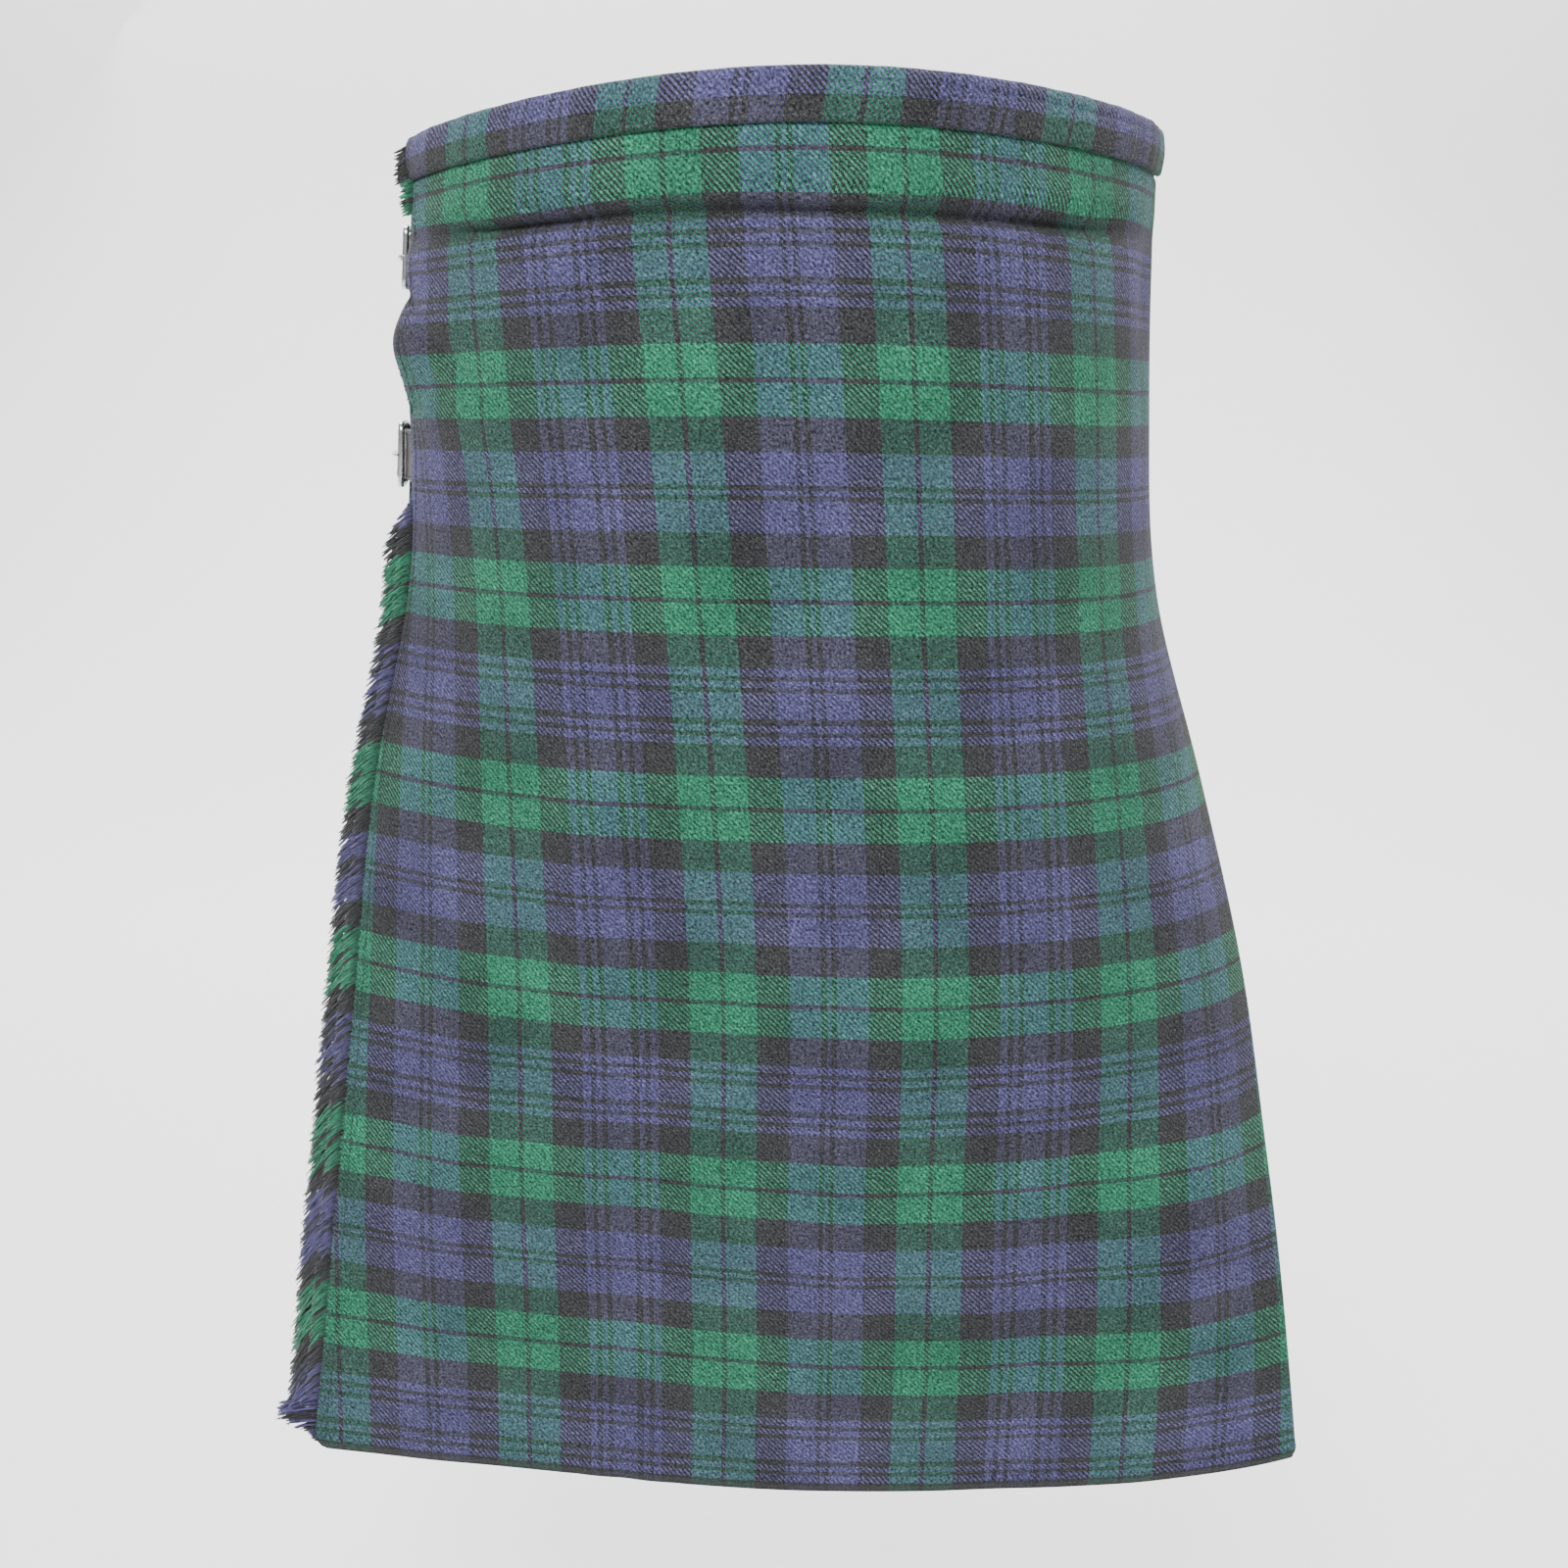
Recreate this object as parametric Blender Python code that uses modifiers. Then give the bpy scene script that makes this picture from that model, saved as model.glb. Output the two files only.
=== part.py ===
"""A worn kilt: two flat aprons in front, knife pleats round the back, and a waistband over the top edge.

Metres, +Z up. The front faces -Y and the wearer's right is -X. The origin is the middle of the waist
opening, level with the top edge in front. Every section is taken at a drop, the distance down the cloth
from the top edge. Along a section, a place is an arc, and "out" is the distance outwards from the outline.
"""

import math
from functools import lru_cache

import bmesh
import bpy
import numpy as np

KILT_NAME = "scottish_kilt"
LENGTH = 0.630
SEAM = 0.0003

# Wall thicknesses
APRON_WALL = 0.0016
PLEAT_WALL = 0.0012
BAND_WALL = 0.0013
STRAP_WALL = 0.0018
TAB_WALL = 0.0015

# The over apron's outer face, section by section. Arcs are measured from the mark, the foremost point
# of the oval before it is turned and shifted.
APRON_COLUMNS = (
    "drop", "half_width", "depth", "power", "shift_x", "shift_y", "turn", "side_drop", "fringe_arc",
    "fold_arc",
)
APRON_ROWS = (
    (0.000, 0.1722, 0.131, 1.80, 0.001, -0.010, 5.5, 0.017, -0.201, 0.206),
    (0.030, 0.1722, 0.131, 1.83, 0.000, -0.010, 4.2, 0.015, -0.197, 0.210),
    (0.120, 0.1767, 0.131, 1.92, -0.002, -0.009, 0.6, 0.010, -0.189, 0.229),
    (0.210, 0.1885, 0.133, 1.82, -0.004, -0.007, -3.3, 0.009, -0.185, 0.246),
    (0.300, 0.2245, 0.137, 1.86, -0.0105, -0.003, -5.2, 0.007, -0.181, 0.265),
    (0.390, 0.2650, 0.142, 2.06, -0.018, 0.003, -6.0, 0.003, -0.171, 0.282),
    (0.480, 0.3090, 0.150, 2.38, -0.030, 0.010, -6.3, -0.003, -0.161, 0.298),
    (0.570, 0.3600, 0.157, 3.00, -0.043, 0.016, -5.6, -0.010, -0.156, 0.312),
    (0.630, 0.3950, 0.162, 3.40, -0.053, 0.020, -5.0, -0.014, -0.155, 0.325),
)

# The figure under the cloth: the under apron and the pleats follow this oval wherever it is narrower
# than the over apron. "corner" is how softly the two outlines run into each other.
BODY_COLUMNS = ("drop", "side", "shift_x", "front", "back", "power", "corner")
BODY_ROWS = (
    (0.000, 0.179, 0.000, 0.200, 0.123, 2.2, 0.012),
    (0.120, 0.184, 0.000, 0.200, 0.134, 2.2, 0.012),
    (0.210, 0.192, 0.001, 0.200, 0.143, 2.2, 0.014),
    (0.300, 0.203, 0.003, 0.205, 0.149, 2.3, 0.020),
    (0.390, 0.217, 0.005, 0.210, 0.157, 2.4, 0.026),
    (0.480, 0.231, 0.008, 0.215, 0.166, 2.6, 0.030),
    (0.570, 0.243, 0.011, 0.220, 0.176, 2.8, 0.032),
    (0.630, 0.251, 0.013, 0.222, 0.182, 3.0, 0.034),
)
APRON_BACK_SPARE = 0.028
LAYER_STEP = 0.006

# The top edge, the hem and every level between dip towards the sides by side_drop times a share that
# grows from the front to the hips and falls again towards the back.
SIDE_SHARE = 1.3
BACK_SHARE = 0.8
HIP_ANGLE = math.radians(120)

# The top edge and the hem also lean: a height per metre across, from the pivot on.
LEAN_COLUMNS = ("drop", "lean", "pivot")
LEAN_ROWS = (
    (0.000, 0.045, 0.000),
    (0.030, 0.032, 0.000),
    (0.120, 0.006, 0.000),
    (0.210, 0.000, 0.000),
    (0.480, 0.000, 0.150),
    (0.570, 0.005, 0.150),
    (0.630, 0.028, 0.150),
)

# The soft trough below the waist seam in front, and the bulge beside the fringe, where the depth is
# negative: centre, reach and depth.
HOLLOW_COLUMNS = ("drop", "arc", "half_height", "half_arc", "depth")
HOLLOW_ROWS = (
    (0.049, -0.060, 0.010, 0.090, 0.0030),
    (0.049, 0.110, 0.010, 0.060, 0.0030),
    (0.097, -0.200, 0.020, 0.045, -0.0095),
)

# Distance from layer to layer inside a fold, and how far the under apron's fold lies past the fringe.
FOLD_COLUMNS = ("drop", "layer", "past_fringe")
FOLD_ROWS = (
    (0.000, 0.0019, 0.012),
    (0.210, 0.0020, 0.011),
    (0.400, 0.0030, 0.009),
    (0.630, 0.0045, 0.007),
)
APRON_FOLD_SPARE = 0.0003
FOLD_ROOM = 0.95
APRON_RETURN = 0.030

# Two levels lie along the edges of each strap, so that cloth and straps bend on the same lines.
LEVELS = (0.003, 0.019, 0.040, 0.064, 0.100, 0.136, 0.160, 0.210, 0.290, 0.390, 0.505, LENGTH)
APRON_STEPS = 30
UNDER_STEPS = 27
UNDER_END_GAP = 0.008

# Knife pleats. Each takes the same width of cloth at every level, so they overlap less as they spread.
PLEATS = 24
PLEAT_CLOTH = 0.056
FELL = 0.210
SWAY = 0.16
SWAY_TURN = 2.4
RUN_MARGIN = 0.0009
PLEAT_SUNK = 0.0002

# The waistband is a strip folded over the top edge.
BAND_HEIGHT = 0.019
BAND_INSIDE = 0.015
BAND_TUCK = 0.004
BAND_ROLL_DROP = 0.0023
BAND_ROLL_IN = 0.0011
UNDER_BAND_TOP = 0.0175

# The fringe: a narrow strip along the over apron's open edge, with tapering locks.
FRINGE_TOP = 0.0215
FRINGE_LOCKS = 120
FRINGE_STRIP = 0.003
FRINGE_INSET = 0.0002
FRINGE_COLUMNS = ("along", "down", "out", "height", "thickness")
FRINGE_STEPS = (
    (0.0068, 0.0045, 0.0042, 0.62, 0.80),
    (0.0056, 0.0085, 0.0038, 0.50, 0.60),
)

# Above this drop the straps hold the fringe flat, and from there on it stands out more and more.
FRINGE_FREE_DROP = 0.165
FRINGE_FREE_RUN = 0.040

# Straps and buckles. Distances "along" a strap start at its sewn end.
STRAP_WIDTH = 0.024
STRAP_TIP = 0.009
STRAP_SEWN = 0.020
STRAP_GAP = 0.0005
STRAP_LENGTH = 0.138
STRAP_TAPER = 0.012
STRAP_STATIONS = (
    0.0, 0.010, 0.020, 0.029, 0.038, 0.046, 0.054, 0.062, 0.068, 0.074, 0.082, 0.092, 0.104, 0.115, 0.126,
    STRAP_LENGTH,
)
FRONT_BAR = 0.049
HEEL_BAR = 0.071
TAB_START = 0.0755
TAB_END = 0.112
TAB_WIDTH = 0.021
BAR_RADIUS = 0.0014
FRAME_HALF_HEIGHT = 0.0146
FRAME_CORNER = 0.25
PRONG_RADIUS = 0.0010
PRONG_HEEL_REACH = 0.001
PRONG_ARCH = 0.0008
PRONG_TIP_REACH = 0.003
PRONG_TIP_DIP = 0.0004
STRAP_DROPS = {"waist": 0.052, "hip": 0.148, "under": 0.052}

# The under apron's strap is laid in three stretches: sewn on, hidden behind the over apron's fold, and
# free like the others from the first free station on. It sinks a little past the under apron's end.
UNDER_STRAP_SEWN = 0.020
UNDER_STRAP_SINK = 0.0012
UNDER_STRAP_SINK_RUN = 0.005
UNDER_SEWN_SHARES = (0.0, 0.35, 0.7, 1.04)
UNDER_HIDDEN_SHARES = (0.17, 0.38, 0.58, 0.80, 1.0)
FIRST_FREE_STATION = 3
SLIT_HEIGHT = 0.028
SLIT_WIDTH = 0.010
SLIT_DEPTH = 0.030

# Name, colour, roughness and metallic value of each finish.
FINISHES = {
    "tartan": ((0.055, 0.110, 0.110), 0.85, 0.0),
    "fringe": ((0.045, 0.085, 0.090), 0.90, 0.0),
    "leather": ((0.012, 0.011, 0.011), 0.45, 0.0),
    "steel": ((0.560, 0.560, 0.570), 0.30, 1.0),
}

SHARP_ANGLE = math.radians(40)
TURNS = np.linspace(-math.pi, 3 * math.pi, 1441)


class Table:
    """Rows of named sizes at rising drops, read between rows along smooth curves."""

    def __init__(self, columns, rows):
        self.values = {name: np.array([row[i] for row in rows]) for i, name in enumerate(columns)}
        self.drops = self.values["drop"]

    def at(self, name, drop):
        knots, values = self.drops, self.values[name]
        slopes = np.gradient(values, knots)
        i = int(np.clip(np.searchsorted(knots, drop) - 1, 0, len(knots) - 2))
        span = knots[i + 1] - knots[i]
        t = (drop - knots[i]) / span
        level = values[i] * (1 + 2 * t) * (1 - t) ** 2 + values[i + 1] * t * t * (3 - 2 * t)
        return level + span * (slopes[i] * t * (1 - t) ** 2 - slopes[i + 1] * t * t * (1 - t))


APRON = Table(APRON_COLUMNS, APRON_ROWS)
BODY = Table(BODY_COLUMNS, BODY_ROWS)
FOLDS = Table(FOLD_COLUMNS, FOLD_ROWS)
LEANS = Table(LEAN_COLUMNS, LEAN_ROWS)


class Outline:
    """A closed section outline, stored by the angle from the front (-Y) towards +X, over two turns."""

    def __init__(self, x, y, zero_angle):
        angle = np.arctan2(x, -y)
        order = np.argsort(angle)
        self.radius = np.interp(TURNS, angle[order], np.hypot(x, y)[order], period=2 * math.pi)
        self.x = self.radius * np.sin(TURNS)
        self.y = -self.radius * np.cos(TURNS)
        dx, dy = np.gradient(self.x), np.gradient(self.y)
        size = np.hypot(dx, dy)
        self.out_x, self.out_y = dy / size, -dx / size
        steps = np.hypot(np.diff(self.x), np.diff(self.y))
        self.arc = np.concatenate([[0.0], np.cumsum(steps)])
        self.arc -= np.interp(zero_angle, TURNS, self.arc)

    def arc_of(self, angle):
        return float(np.interp(angle, TURNS, self.arc))

    def angle_of(self, arc):
        return float(np.interp(arc, self.arc, TURNS))

    def at(self, arc, out=0.0):
        x = np.interp(arc, self.arc, self.x) + out * np.interp(arc, self.arc, self.out_x)
        y = np.interp(arc, self.arc, self.y) + out * np.interp(arc, self.arc, self.out_y)
        return float(x), float(y)


def rounded_oval(half_width, front, back, power, count=720):
    turn = np.linspace(-math.pi, math.pi, count, endpoint=False)
    across, ahead = np.sin(turn), np.cos(turn)
    x = half_width * np.sign(across) * np.abs(across) ** (2 / power)
    reach = np.where(ahead > 0, front, back)
    y = -reach * np.sign(ahead) * np.abs(ahead) ** (2 / power)
    return x, y


def soft_least(a, b, reach):
    near = np.clip(1 - np.abs(a - b) / reach, 0, 1)
    return np.minimum(a, b) - near ** 2 * reach / 4


def hollow_depth(drop, arc):
    depth = 0.0
    for row in HOLLOW_ROWS:
        hollow = dict(zip(HOLLOW_COLUMNS, row))
        up = (drop - hollow["drop"]) / hollow["half_height"]
        along = (arc - hollow["arc"]) / hollow["half_arc"]
        depth = depth + hollow["depth"] * np.exp(-up ** 2 - along ** 2)
    return depth


@lru_cache(maxsize=None)
def apron_outline(drop):
    depth = APRON.at("depth", drop)
    back = BODY.at("back", drop) + APRON_BACK_SPARE
    x, y = rounded_oval(APRON.at("half_width", drop), depth, back, APRON.at("power", drop))
    turn = math.radians(APRON.at("turn", drop))
    shift_x, shift_y = APRON.at("shift_x", drop), APRON.at("shift_y", drop)
    mark = math.atan2(shift_x + math.sin(turn) * depth, math.cos(turn) * depth - shift_y)
    turned_x = shift_x + math.cos(turn) * x - math.sin(turn) * y
    turned_y = shift_y + math.sin(turn) * x + math.cos(turn) * y
    smooth = Outline(turned_x, turned_y, mark)
    around = smooth.arc_of(math.pi) - smooth.arc_of(-math.pi)
    inward = hollow_depth(drop, (smooth.arc + around / 2) % around - around / 2)
    return Outline(smooth.x - inward * smooth.out_x, smooth.y - inward * smooth.out_y, mark)


@lru_cache(maxsize=None)
def body_outline(drop):
    apron = apron_outline(drop)
    inner = Outline(apron.x - LAYER_STEP * apron.out_x, apron.y - LAYER_STEP * apron.out_y, 0.0)
    x, y = rounded_oval(
        BODY.at("side", drop), BODY.at("front", drop), BODY.at("back", drop), BODY.at("power", drop)
    )
    figure = Outline(x + BODY.at("shift_x", drop), y, 0.0)
    radius = soft_least(inner.radius, figure.radius, BODY.at("corner", drop))
    fold_angle = apron.angle_of(APRON.at("fold_arc", drop))
    return Outline(radius * np.sin(TURNS), -radius * np.cos(TURNS), fold_angle)


def drop_share(angle):
    angle = abs((angle + math.pi) % (2 * math.pi) - math.pi)
    if angle < HIP_ANGLE:
        return SIDE_SHARE * (1 - math.cos(math.pi * angle / HIP_ANGLE)) / 2
    past = (angle - HIP_ANGLE) / (math.pi - HIP_ANGLE)
    return BACK_SHARE + (SIDE_SHARE - BACK_SHARE) * (1 + math.cos(math.pi * past)) / 2


def raised(drop, place):
    x, y = place
    dip = APRON.at("side_drop", drop) * drop_share(math.atan2(x, -y))
    lean = LEANS.at("lean", drop) * (x - LEANS.at("pivot", drop))
    return x, y, lean - drop - dip


class Level:
    """The places that the panels share at one drop."""

    def __init__(self, drop):
        self.drop = drop
        self.apron = apron_outline(drop)
        self.body = body_outline(drop)
        self.fringe_arc = APRON.at("fringe_arc", drop)
        self.fold_arc = APRON.at("fold_arc", drop)
        self.layer = FOLDS.at("layer", drop)
        self.apron_layer = self.layer + APRON_FOLD_SPARE
        seam_angle = self.apron.angle_of(self.fringe_arc - FOLDS.at("past_fringe", drop))
        self.under_seam = self.body.arc_of(seam_angle)
        self.back_seam = self.body.arc_of(seam_angle + 2 * math.pi)
        return_arc = self.fold_arc - APRON_RETURN
        self.inner_fold_arc = self.body.arc_of(self.apron.angle_of(return_arc - SEAM - PLEAT_WALL / 2))
        self.under_end = self.inner_fold_arc - UNDER_END_GAP
        self.under_fold = self.under_seam + SEAM / 2 + FOLD_ROOM * APRON_WALL
        self.under_face_end = self.under_fold + self.apron_layer / 2

    def on_apron(self, arc, out, drop=None):
        return raised(self.drop if drop is None else drop, self.apron.at(arc, out))

    def on_body(self, arc, out, drop=None):
        return raised(self.drop if drop is None else drop, self.body.at(arc, out))


def pleat_edges(level):
    """Arcs of the pleats' fold edges on the body outline, from the over apron's fold round to the seam."""
    share = np.arange(PLEATS + 1) / PLEATS
    free = max(0.0, (level.drop - FELL) / (LENGTH - FELL))
    sway = SWAY * free ** 2 / PLEATS * np.sin(SWAY_TURN * np.arange(PLEATS + 1))
    sway[0] = sway[-1] = 0.0
    edges = level.back_seam * (share + sway)
    edges[-1] -= (SEAM + PLEAT_WALL) / 2
    return edges


def over_apron_row(level):
    """Wall centre of the over apron: the face, the pressed fold and the first stretch of the deep pleat."""
    middle = -APRON_WALL / 2
    behind = middle - level.apron_layer
    arcs = np.linspace(level.fringe_arc, level.fold_arc, APRON_STEPS + 1)
    row = [level.on_apron(arc, middle) for arc in arcs]
    low = max(level.drop, UNDER_BAND_TOP)
    row.append(level.on_apron(level.fold_arc + level.apron_layer / 2, (middle + behind) / 2, low))
    for share in (0.0, 0.5, 1.0):
        row.append(level.on_apron(level.fold_arc - share * APRON_RETURN, behind, low))
    return row


def under_apron_row(level):
    """Wall centre of the under apron: its face, its pressed fold and the return behind it."""
    middle = -APRON_WALL / 2
    behind = middle - level.apron_layer
    arcs = np.linspace(level.under_end, level.under_face_end, UNDER_STEPS + 1)
    row = [level.on_body(arc, middle) for arc in arcs]
    low = max(level.drop, UNDER_BAND_TOP)
    row.append(level.on_body(level.under_fold, (middle + behind) / 2, low))
    for share in (0.0, 0.5, 1.0):
        row.append(level.on_body(level.under_face_end + share * APRON_RETURN, behind, low))
    return row


def pleated_back_row(level):
    """Wall centre of the pleats, with the inner folds that meet the two aprons' returns."""
    middle = -PLEAT_WALL / 2 - PLEAT_SUNK
    layer = level.layer
    low = max(level.drop, UNDER_BAND_TOP)
    edges = pleat_edges(level)
    return_end = level.fold_arc - APRON_RETURN - SEAM - PLEAT_WALL / 2
    row = [level.on_apron(return_end, -APRON_WALL / 2 - level.apron_layer, low)]
    first_slope = 2 * layer / (edges[1] - edges[0])
    start = level.inner_fold_arc
    row.append(level.on_body(start, middle - first_slope * (edges[1] - start), low))
    for near, edge in zip(edges[:-1], edges[1:]):
        width = edge - near
        overlap = (PLEAT_CLOTH - width) / 2
        slope = 2 * layer / width
        row.append(level.on_body(near, middle - 2 * layer))
        row.append(level.on_body(edge - overlap, middle - slope * overlap))
        row.append(level.on_body(edge, middle))
        row.append(level.on_body(edge, middle - layer))
        row.append(level.on_body(edge - overlap, middle - slope * overlap - layer))
        row.append(level.on_body(edge - overlap, middle - slope * overlap - 2 * layer))
    run = -(APRON_WALL + level.apron_layer + PLEAT_WALL / 2 + RUN_MARGIN)
    return_end = level.under_face_end - level.under_seam + APRON_RETURN
    run_end = level.back_seam + return_end + SEAM + PLEAT_WALL / 2
    row.append(level.on_body(level.back_seam + BAND_TUCK, min(run, middle - 2 * layer), low))
    row.append(level.on_body(run_end, run, low))
    row.append(level.on_body(run_end, -APRON_WALL / 2 - level.apron_layer, low))
    return row


def band_profile(outer, inner):
    """Drops and outs of the band's wall centre, up the outside, over the top edge and down the inside."""
    half = BAND_WALL / 2
    return (
        (BAND_HEIGHT, outer),
        (BAND_HEIGHT / 2, outer),
        (BAND_ROLL_DROP, outer),
        (half, outer - BAND_ROLL_IN),
        (half, inner + BAND_ROLL_IN),
        (BAND_ROLL_DROP, inner),
        (BAND_INSIDE, inner),
    )


def band_front_rows():
    outer = SEAM + BAND_WALL / 2
    inner = -APRON_WALL - outer
    rows = []
    for drop, out in band_profile(outer, inner):
        level = Level(drop)
        arcs = np.linspace(level.fringe_arc, level.fold_arc, APRON_STEPS + 1)
        rows.append([level.on_apron(arc, out) for arc in arcs])
    return rows


def band_back_rows():
    top = Level(LEVELS[0])
    widest = max(np.diff(pleat_edges(top)))
    overlap = (PLEAT_CLOTH - widest) / 2
    deepest = PLEAT_WALL + 2 * PLEAT_SUNK + 2 * top.layer * (1 + overlap / widest)
    outer = SEAM + BAND_WALL / 2
    inner = -deepest - 2 * SEAM - BAND_WALL / 2
    rows = []
    for drop, out in band_profile(outer, inner):
        level = Level(drop)
        arcs = list(pleat_edges(level))
        arcs[0] -= BAND_TUCK
        arcs.append(level.back_seam + level.under_face_end - level.under_seam - SEAM)
        rows.append([level.on_body(arc, out) for arc in arcs])
    return rows


def band_under_rows():
    outer = SEAM + BAND_WALL / 2
    inner = -APRON_WALL - outer
    rows = []
    for drop, out in band_profile(outer, inner):
        level = Level(drop)
        arcs = np.linspace(level.under_end, level.under_face_end, UNDER_STEPS + 1)
        rows.append([level.on_body(arc, out) for arc in arcs])
    return rows


def finish_material(finish, name):
    colour, roughness, metallic = FINISHES[finish]
    material = bpy.data.materials.new(name)
    material.use_nodes = True
    shader = material.node_tree.nodes["Principled BSDF"]
    shader.inputs["Base Color"].default_value = (*colour, 1.0)
    shader.inputs["Roughness"].default_value = roughness
    shader.inputs["Metallic"].default_value = metallic
    return material


def add_object(collection, name, mesh, finish, parent):
    piece = bpy.data.objects.new(name, mesh)
    piece.parent = parent
    collection.objects.link(piece)
    mesh.materials.append(finish_material(finish, name))
    return piece


def add_sheet(collection, name, rows, wall, finish, parent):
    """A panel: an open surface through rows of wall-centre points, thickened with Solidify."""
    count = len(rows[0])
    points = [point for row in rows for point in row]
    faces = []
    for i in range(len(rows) - 1):
        for j in range(count - 1):
            here = i * count + j
            faces.append((here, here + 1, here + count + 1, here + count))
    mesh = bpy.data.meshes.new(name)
    mesh.from_pydata(points, [], faces)
    mesh.shade_smooth()
    mesh.set_sharp_from_angle(angle=SHARP_ANGLE)
    piece = add_object(collection, name, mesh, finish, parent)
    thicken = piece.modifiers.new("wall", "SOLIDIFY")
    thicken.thickness = wall
    thicken.offset = 0.0
    thicken.use_even_offset = True
    thicken.use_quality_normals = True
    return piece


def fringe_edge_point(drop, arc_step, out):
    """A point beside the over apron's open edge, on the straight lines between its levels."""
    upper = max(i for i, level in enumerate(LEVELS[:-1]) if level <= drop)
    share = (drop - LEVELS[upper]) / (LEVELS[upper + 1] - LEVELS[upper])
    ends = []
    for level in (Level(LEVELS[upper]), Level(LEVELS[upper + 1])):
        ends.append(np.array(level.on_apron(level.fringe_arc - arc_step, out)))
    return ends[0] * (1 - share) + ends[1] * share


def add_fringe(collection, name, parent):
    """A four-sided strip along the open edge, with a tapering lock drawn out of each outer face."""
    mesh_tool = bmesh.new()
    past = SEAM + FRINGE_STRIP
    corners = ((SEAM, 0.0), (SEAM, -APRON_WALL), (past, FRINGE_INSET - APRON_WALL), (past, -FRINGE_INSET))
    drops = np.linspace(FRINGE_TOP, LENGTH, FRINGE_LOCKS + 1)
    rings = []
    for drop in drops:
        rings.append([mesh_tool.verts.new(fringe_edge_point(drop, step, out)) for step, out in corners])
    outer_faces = []
    for above, below in zip(rings[:-1], rings[1:]):
        for i in range(4):
            j = (i + 1) % 4
            face = mesh_tool.faces.new((above[i], above[j], below[j], below[i]))
            if i == 2:
                outer_faces.append(face)
    mesh_tool.faces.new(rings[0][::-1])
    mesh_tool.faces.new(rings[-1])
    bmesh.ops.recalc_face_normals(mesh_tool, faces=mesh_tool.faces)
    for row in FRINGE_STEPS:
        step = dict(zip(FRINGE_COLUMNS, row))
        grown = bmesh.ops.extrude_discrete_faces(mesh_tool, faces=outer_faces)["faces"]
        for face in grown:
            centre = face.calc_center_median()
            drop = min(max(-centre.z, FRINGE_TOP), LENGTH)
            edge = fringe_edge_point(drop, 0.0, 0.0)
            past = fringe_edge_point(drop, FRINGE_STRIP, 0.0)
            outward = fringe_edge_point(drop, 0.0, FRINGE_STRIP)
            along = (past - edge) / np.linalg.norm(past - edge)
            out = (outward - edge) / np.linalg.norm(outward - edge)
            free = smooth_share((drop - FRINGE_FREE_DROP) / FRINGE_FREE_RUN)
            fall = step["down"] * np.array((0.0, 0.0, 1.0))
            shift = step["along"] * along + free * step["out"] * out - fall
            for vert in face.verts:
                offset = np.array(vert.co - centre)
                upward = offset[2]
                level_part = offset - upward * np.array((0.0, 0.0, 1.0))
                vert.co = np.array(centre) + shift + step["thickness"] * level_part
                vert.co.z += step["height"] * upward
        outer_faces = grown
    mesh = bpy.data.meshes.new(name)
    mesh_tool.to_mesh(mesh)
    mesh_tool.free()
    return add_object(collection, name, mesh, "fringe", parent)


def smooth_share(value):
    value = min(max(value, 0.0), 1.0)
    return value * value * (3 - 2 * value)


STRAP_LIFTS = (
    (0.0, STRAP_GAP), (FRONT_BAR + 0.002, STRAP_GAP), (HEEL_BAR, 2 * BAR_RADIUS + TAB_WALL + 2 * STRAP_GAP),
    (TAB_START + 0.008, TAB_WALL + 2 * STRAP_GAP), (STRAP_LENGTH, TAB_WALL + 2 * STRAP_GAP),
)


def strap_lift(along):
    """Height of the strap's underside over the cloth."""
    places = [place for place, lift in STRAP_LIFTS]
    for i in range(len(places) - 1):
        if along <= places[i + 1]:
            share = smooth_share((along - places[i]) / (places[i + 1] - places[i]))
            return STRAP_LIFTS[i][1] * (1 - share) + STRAP_LIFTS[i + 1][1] * share
    return STRAP_LIFTS[-1][1]


def strap_place(which, along, down, lift):
    """A point near a strap: along it, down from its middle line, and lifted off the cloth."""
    drop = STRAP_DROPS[which] + down
    level = Level(drop)
    if which == "under":
        arc = level.under_end - UNDER_STRAP_SEWN + along
        return np.array(level.on_body(arc, lift))
    edge = level.body.arc_of(level.apron.angle_of(level.fringe_arc))
    on_body = np.array(level.on_body(edge + STRAP_SEWN - along, lift))
    sewn_out = -APRON_WALL - STRAP_GAP - STRAP_WALL / 2
    on_apron = np.array(level.on_apron(level.fringe_arc + STRAP_SEWN - along, sewn_out))
    free = smooth_share((along - STRAP_SEWN) / STRAP_SEWN)
    return on_apron * (1 - free) + on_body * free


def strap_shift(which):
    """The under apron's strap runs behind the over apron's fold before it comes out on the pleats."""
    if which != "under":
        return 0.0
    level = Level(STRAP_DROPS[which])
    return -level.under_end + UNDER_STRAP_SEWN - STRAP_SEWN


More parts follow.
